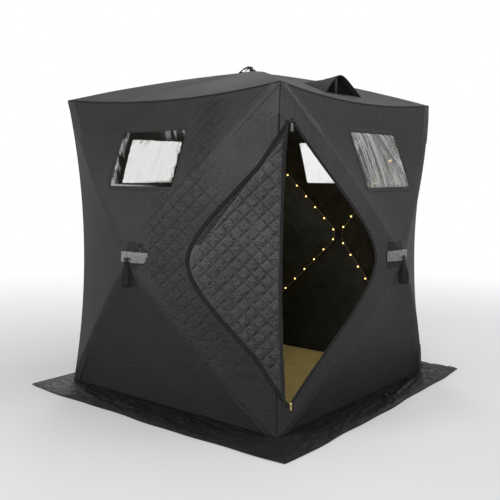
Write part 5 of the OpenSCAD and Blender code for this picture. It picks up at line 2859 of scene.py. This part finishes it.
@dataclass
class RoofVents(Trade):
    """Two cloth vent hoods on the roof, with mesh in their mouths and a strut that holds each open.

    Attributes:
        start: Distance of a hood's tail from the roof's middle.
        end: Distance of its mouth.
        side: How far the hood stands beside the middle.
        width: Width of the mouth.
        tall: Height of the mouth.
        lean: How far its top leans aside.
        round_top: How round its top is: 1 for a sharp peak, more for a rounder one.
        reach: Half the width of the hood's strip of cloth.
        deep: How far the mesh sits inside the mouth.
    """

    start: float = 0.380
    end: float = 0.700
    side: float = 0.070
    width: float = 0.440
    tall: float = 0.122
    lean: float = 0.042
    round_top: float = 1.5
    reach: float = 0.17
    deep: float = 0.030

    def __post_init__(self) -> None:
        """Finds the roof's height at the tail and at the mouth."""
        self.tail_z, self.foot_z = ROOF.local(np.array([[0.0, -self.start], [0.0, -self.end]]))[:, 2]

    def mouth(self, across: Points, inset: float = 0.0) -> tuple[Points, Points]:
        """Place of the mouth's edge.

        Args:
            across: Shares of its half width, from -1 to 1.
            inset: Share by which it is narrower.

        Returns:
            Its x in the front wall's frame and its height over the mouth's foot.
        """
        r = self.round_top
        x = self.side + across * (1 - inset) * self.width / 2 - self.lean * (1 - across**2)
        return x, self.tall * (r - np.sqrt((r - 1) ** 2 + (2 * r - 1) * across**2))

    def hood(self, side: Side) -> Thing:
        """The hood: cloth from its tail on the roof to the stitched edge of the mouth.

        Args:
            side: The eave that it faces.

        Returns:
            The hood.
        """
        noise = CreaseNoise(Seed.HOOD)

        def place(rows: Points) -> Points:
            """The hood's face.

            Args:
                rows: Rows of a share along the strip and metres across it.

            Returns:
                Rows of x, y, z.
            """
            run, q = 0.03 + 0.97 * rows[:, 0], np.clip(rows[:, 1] / self.reach, -1, 1)
            x, tall = self.mouth(q)
            edge = stack(x, -self.end, self.foot_z - 0.004 + tall)
            tail = np.array([self.side, -self.start, self.tail_z - 0.003])
            spots = tail + (edge - tail) * run[:, None]
            crease = 0.006 * (noise.rough(run * 5 + 30, q * 5 + 30, 3) - 0.5)
            spots[:, 2] -= np.sin(math.pi * run) * (0.006 * (1 - np.abs(q)) + crease)
            return turned(spots, side.value)

        strip = Band(f"{side.word}_vent_hood", place, 0.32, 2 * self.reach, thick=0.0035, step=0.010, columns=40)
        # The hood's cloth is painted darker than the roof's: painted shade.
        return strip.build((0, 0, 1.0), self.finishes.hood)

    def lip(self, side: Side) -> None:
        """Binding on the edge of the mouth.

        Args:
            side: The eave that it faces.
        """
        half_width, radius = 0.007, 0.0035

        def place(rows: Points) -> Points:
            """The binding's face, rolled over the edge.

            Args:
                rows: Rows of a share along the strip and metres across it.

            Returns:
                Rows of x, y, z.
            """
            x, tall = self.mouth(rows[:, 0] * 2 - 1)
            turn = rows[:, 1] / half_width * math.pi * 0.75
            spots = stack(x, -self.end - radius * np.sin(turn), self.foot_z - 0.005 + tall + radius * np.cos(turn))
            return turned(spots, side.value)

        strip = Band(f"{side.word}_vent_lip", place, 0.50, 2 * half_width, thick=0.0008, step=0.010, columns=6)
        ride(strip.build((0, 0, 1.0), self.finishes.trim), "roof_fabric")

    def mesh(self, side: Side) -> None:
        """Dark mesh a little inside the mouth.

        Args:
            side: The eave that it faces.
        """
        height = 0.10

        def place(rows: Points) -> Points:
            """The mesh's face, which fills the mouth.

            Args:
                rows: Rows of a share along the strip and metres across it.

            Returns:
                Rows of x, y, z.
            """
            x, tall = self.mouth(rows[:, 0] * 2 - 1, 0.10)
            share = rows[:, 1] / height + 0.5
            z = self.foot_z + 0.002 + (tall * 0.96 - 0.008) * share * 0.88
            return turned(stack(x, self.deep - self.end, z), side.value)

        strip = Band(f"{side.word}_vent_mesh", place, 0.38, height)
        ride(strip.build(side.out, self.finishes.mesh), "roof_fabric")

    def strut(self, side: Side) -> Thing:
        """Flat strut that props the mouth open.

        Args:
            side: The eave that it faces.

        Returns:
            The strut.
        """
        low, high = (np.array(v, float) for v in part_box("roof_vent_struts"))
        thick, wide = 0.004, 0.026
        right = (high[0] - thick / 2, low[1] + wide / 2)
        place = right if side is Side.RIGHT else (low[0] + thick / 2, high[1] - wide / 2)
        size = (thick, wide, high[2] - low[2] + 0.010)
        piece = Bench.block(f"{side.word}_vent_strut", (*place, (low[2] + high[2]) / 2), size, 0.0014)
        Bench.dress(piece, self.finishes.strut)
        Bench.soften(piece, Crisp.PLASTIC)
        return piece

    def build(self) -> None:
        """Builds both vents."""
        both = (Side.RIGHT, Side.LEFT)
        hoods, struts = [self.hood(side) for side in both], [self.strut(side) for side in both]
        for side in both:
            self.lip(side)
            self.mesh(side)
        ride(Bench.join("vent_hood_pair", hoods), "roof_fabric", "roof_vent_hoods")
        ride(Bench.join("vent_strut_pair", struts), "pole", "roof_vent_struts")


@dataclass
class StringLights(Trade):
    """Warm string lights that are clipped along the back wall's poles.

    Attributes:
        wire_depth: Depth of the wire's middle under the cloth.
        bulb_depth: Depth at which the bulbs' sockets start.
        pole_end: Distance from the corners that stays free of bulbs.
        sag: How far the wire hangs down between its clips.
        glass_height: Height of the glass's middle over the socket's foot.
    """

    wire_depth: float = SIZES.pole_depth + SIZES.pole_radius + 0.001 + SIZES.wire_radius
    bulb_depth: float = wire_depth + SIZES.wire_radius + 0.0005
    pole_end: float = 0.055
    sag: float = 0.0015
    glass_height: float = 0.0155

    def first(self, east: int) -> float:
        """Distance of the first bulb from the hub."""
        return SIZES.bulb_first + (SIZES.bulb_shift if east < 0 else 0.0)

    def line(self, east: int) -> Points:
        """Points of the wire on one side: down the upper pole, past the hub and along the lower pole.

        Args:
            east: 1 for the right side, -1 for the left one.

        Returns:
            Rows of x, y, z in the front wall's frame.
        """
        start = (SIZES.hub_radius + SIZES.wire_radius + 0.002) / SIZES.half
        rows = []
        for level in (1, 0):
            edge = WALLS.edges[east, level]
            shares = np.linspace(start, 1 - 1.5 * self.pole_end / edge.length, 60)[:: -1 if level else 1]
            points = edge.point(shares, self.wire_depth)
            past = shares * edge.length - self.first(east)
            points[:, 2] -= self.sag * np.abs(np.sin(past / SIZES.bulb_step * 2 * math.pi))
            rows.append(points)
        return np.concatenate(rows)

    def wire(self) -> None:
        """Both sides' wire as round tubes."""
        tubes = []
        for east in (-1, 1):
            points = turned(self.line(east), Side.BACK.value)
            way = unit(np.gradient(points, axis=0))
            side = unit(np.cross(way, np.array([0.0, 1.0, 0.0])))
            other = np.cross(way, side)
            piece = Bench.grid(f"light_wire_{'right' if east > 0 else 'left'}", len(points) - 1, 8)
            spots = Bench.points(piece)
            row = np.rint((spots[:, 0] + 1) / 2 * (len(points) - 1)).astype(int)
            turn = spots[:, 1] * math.pi
            ring = side[row] * np.cos(turn)[:, None] + other[row] * np.sin(turn)[:, None]
            Bench.move(piece, points[row] + ring * SIZES.wire_radius)
            Bench.edit(piece, kind="VERT")
            bpy.ops.mesh.remove_doubles(threshold=1e-5)
            bpy.ops.mesh.fill_holes(sides=0)
            Bench.close()
            Bench.outward(piece)
            tubes.append(piece)
        piece = Bench.join("light_wire", tubes)
        Bench.dress(piece, self.finishes.wire)
        Bench.soften(piece, Crisp.ROUND)
        ride(piece, "light_wire", "string_light_wire")

    def bulb(self) -> Thing:
        """One bulb in its ribbed socket, along +Z.

        Returns:
            The bulb.
        """
        socket = Bench.rod("socket", 12, 0.0045, 0.010, (0, 0, 0.005))
        Bench.pick(socket, lambda face: face.normal.z > 0.9)
        bpy.ops.mesh.inset(thickness=0.0008)
        bpy.ops.mesh.extrude_region_move(TRANSFORM_OT_translate={"value": (0, 0, 0.002)})
        Bench.close()
        Bench.dress(socket, self.finishes.plastic)
        Bench.hold()
        middle = (0, 0, self.glass_height)
        bpy.ops.mesh.primitive_uv_sphere_add(segments=12, ring_count=8, radius=SIZES.bulb_radius, location=middle)
        glass = Bench.start("glass")
        spots = Bench.points(glass)
        spots[:, :2] *= (1 - 0.28 * smooth(self.glass_height, 0.0060, spots[:, 2]))[:, None]
        Bench.move(glass, spots)
        Bench.dress(glass, self.finishes.glow)
        piece = Bench.join("bulb_model", [socket, glass])
        Bench.soften(piece, Crisp.ROUND)
        return piece

    def bulbs(self) -> None:
        """All bulbs, one copy at each place along the poles."""
        model = self.bulb()
        shape = Bench.points(model)
        copies = []
        for (east, _), edge in WALLS.edges.items():
            first = self.first(east)
            count = math.floor((edge.length - 2 * self.pole_end - first) / SIZES.bulb_step) + 1
            for share in (first + np.arange(count) * SIZES.bulb_step) / edge.length:
                here, further = edge.point(np.array([share, share + 0.01]), self.bulb_depth)
                up = unit(edge.point(np.array([share]), self.bulb_depth + 0.01)[0] - here)
                across = np.cross(up, unit(further - here))
                spots = here + shape @ np.array([np.cross(across, up), across, up])
                copies.append(Bench.copy(model, f"bulb_{len(copies)}", turned(spots, Side.BACK.value)))
        bpy.data.objects.remove(model)
        log.info("%d bulbs", len(copies))
        ride(Bench.join("light_bulbs", copies), "bulb", "string_light_bulbs")

    def build(self) -> None:
        """Builds the lights."""
        self.wire()
        self.bulbs()


@dataclass
class PoleFrame(Trade):
    """Hubs and poles, whose solids have the right shape and only get their finish."""

    def build(self) -> None:
        """Gives hubs and poles their materials."""
        plan = {f"{word}_poles": self.finishes.pole for word in ("front", "right", "back", "left", "roof")}
        for name, finish in (plan | {"wall_hubs": self.finishes.plastic, "roof_hub": self.finishes.plastic}).items():
            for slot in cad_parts[name].material_slots:
                slot.material = finish
            log.info("%s: finished", name)


@dataclass(frozen=True)
class Lamp:
    """A soft square lamp.

    Attributes:
        name: Its name.
        spot: Its place.
        target: Place that it looks at.
        size: Side of its square in metres.
        watts: Its power.
    """

    name: str
    spot: Spot
    target: Spot
    size: float
    watts: float

    def add(self) -> None:
        """Adds the lamp to the scene."""
        data = bpy.data.lights.new(self.name, "AREA")
        data.size = self.size
        data.energy = self.watts
        piece = bpy.data.objects.new(self.name, data)
        piece.location = self.spot
        piece.rotation_euler = (Vector(self.target) - Vector(self.spot)).to_track_quat("-Z", "Y").to_euler()
        bpy.context.scene.collection.objects.link(piece)


@dataclass
class Studio:
    """Plain pale floor, soft light and the camera at the photograph's place.

    Attributes:
        spot: Place of the camera.
        yaw: Its turn to the left from looking along Y, in degrees.
        pitch: Its tilt up.
        roll: Its turn about its own axis.
        pixels: Focal length in pixels of the photo.
        frame_width: Width of the photo in pixels.
        bounced: Colour of the floor for light that bounces.
        shown: Colour of the floor for what the camera sees.
        lamps: The soft lamps.
    """

    spot: Spot = (3.236, -4.060, 1.490)
    yaw: float = 38.75
    pitch: float = -6.13
    roll: float = 0.28
    pixels: float = 727.1
    frame_width: float = 500.0
    bounced: Colour = (0.16, 0.16, 0.165)
    shown: Colour = (0.86, 0.87, 0.88)
    lamps: tuple[Lamp, ...] = (
        Lamp("soft_top", (1.0, 0.2, 5.2), (0, 0, 1.9), 3.0, 100),
        Lamp("soft_left", (-3.2, -6.0, 3.0), (0, -0.9, 1.2), 2.0, 120),
        Lamp("soft_camera", (3.6, -6.0, 2.2), (0.6, -0.6, 1.1), 2.0, 165),
        Lamp("soft_right", (5.5, 3.5, 2.4), (0.9, 0, 1.1), 2.5, 105),
        Lamp("soft_back", (-4.6, 4.2, 3.0), (-0.5, 0.5, 1.1), 2.0, 130),
    )

    def camera(self) -> None:
        """Adds the camera."""
        data = bpy.data.cameras.new("camera")
        data.sensor_width = sensor = 36.0
        data.lens = sensor * self.pixels / self.frame_width
        data.clip_start = 0.05
        data.clip_end = 200
        yaw, pitch, roll = (math.radians(v) for v in (self.yaw, self.pitch, self.roll))
        ahead = Vector((-math.sin(yaw) * math.cos(pitch), math.cos(yaw) * math.cos(pitch), math.sin(pitch)))
        right = Vector((math.cos(yaw), math.sin(yaw), 0))
        above = right.cross(ahead)
        x = math.cos(roll) * right + math.sin(roll) * above
        y = -math.sin(roll) * right + math.cos(roll) * above
        piece = bpy.data.objects.new("camera", data)
        piece.matrix_world = Matrix.Translation(self.spot) @ Matrix((x, y, -ahead)).transposed().to_4x4()
        bpy.context.scene.collection.objects.link(piece)
        bpy.context.scene.camera = piece

    @staticmethod
    def seen(tree: bpy.types.NodeTree) -> Socket:
        """Tells what the camera sees, also in gloss or through the windows, from light that bounces.

        Args:
            tree: Nodes that the answer is added to.

        Returns:
            Socket that is 1 for what the camera sees and 0 for the rest.
        """
        path = tree.nodes.new("ShaderNodeLightPath")
        both = path.outputs["Is Camera Ray"]
        for name in ("Is Glossy Ray", "Is Transmission Ray"):
            node = tree.nodes.new("ShaderNodeMath")
            node.operation = "MAXIMUM"
            tree.links.new(both, node.inputs[0])
            tree.links.new(path.outputs[name], node.inputs[1])
            both = node.outputs[0]
        return both

    def floor(self) -> None:
        """Adds the floor: pale to the camera, darker to the light that bounces, white far away."""
        Bench.hold()
        bpy.ops.mesh.primitive_grid_add(x_subdivisions=4, y_subdivisions=4, size=120, location=(0, 0, -0.002))
        piece = Bench.start("studio_floor")
        desk = NodeDesk("studio floor")
        seen = self.seen(desk.tree)
        east, north = desk.parts(desk.place())
        far = desk.math("SQRT", desk.math("ADD", desk.math("POWER", east, 2.0), desk.math("POWER", north, 2.0)))
        white = desk.math("MULTIPLY", desk.span(far, 1.4, 6.5, 0.30, 1.0), seen)
        desk.finish(Base_Color=desk.blend(seen, self.bounced, self.shown), Roughness=0.9, Specular_IOR_Level=0.0)
        glow = desk.add("Emission")
        glow.inputs["Color"].default_value = (1, 1, 1, 1)
        glow.inputs["Strength"].default_value = 1.0
        mix = desk.add("MixShader")
        for socket, value in zip(mix.inputs, (white, desk.shader.outputs[0], glow.outputs[0])):
            desk.feed(socket, value)
        desk.feed(desk.tree.nodes["Material Output"].inputs["Surface"], mix.outputs[0])
        Bench.dress(piece, desk.material)

    def world(self) -> None:
        """Sets a soft grey sky for light and a white one for what the camera sees."""
        world = bpy.data.worlds.new("studio sky")
        bpy.context.scene.world = world
        world.use_nodes = True
        tree = world.node_tree
        tree.nodes.clear()
        skies = []
        for colour, strength in (((0.98, 0.99, 1.0, 1), 0.10), ((1, 1, 1, 1), 1.0)):
            sky = tree.nodes.new("ShaderNodeBackground")
            sky.inputs["Color"].default_value = colour
            sky.inputs["Strength"].default_value = strength
            skies.append(sky.outputs[0])
        mix = tree.nodes.new("ShaderNodeMixShader")
        out = tree.nodes.new("ShaderNodeOutputWorld")
        for socket, value in zip(mix.inputs, (self.seen(tree), *skies)):
            tree.links.new(value, socket)
        tree.links.new(mix.outputs[0], out.inputs["Surface"])

    def glow(self) -> None:
        """Adds the warm light that the string lights throw into the hut."""
        data = bpy.data.lights.new("string_glow", "POINT")
        data.energy = 9.0
        data.shadow_soft_size = 0.30
        data.color = (1.0, 0.86, 0.60)
        piece = bpy.data.objects.new("string_glow", data)
        piece.location = (0.0, 0.1, 1.35)
        piece.visible_camera = piece.visible_glossy = piece.visible_transmission = False
        bpy.context.scene.collection.objects.link(piece)

    def build(self) -> None:
        """Builds the studio."""
        self.floor()
        self.world()
        for lamp in self.lamps:
            lamp.add()
        self.glow()


def main() -> None:
    """Builds the studio and dresses the hut, piece by piece."""
    logging.basicConfig(level=logging.INFO, format="%(name)s: %(message)s")
    studio = Studio()
    studio.camera()
    finishes = Finishes()
    cloth = (WallCloth, RoofCloth, Seams, Windows, Door)
    rest = (SnowSkirt, FloorMat, PoleFrame, HubTrim, RoofVents, StringLights)
    for work in (studio, *(trade(finishes) for trade in cloth + rest)):
        work.build()
        log.info("%s is done", type(work).__name__)
    bpy.context.scene.view_settings.view_transform = "Standard"


if __name__ == "__main__":
    main()
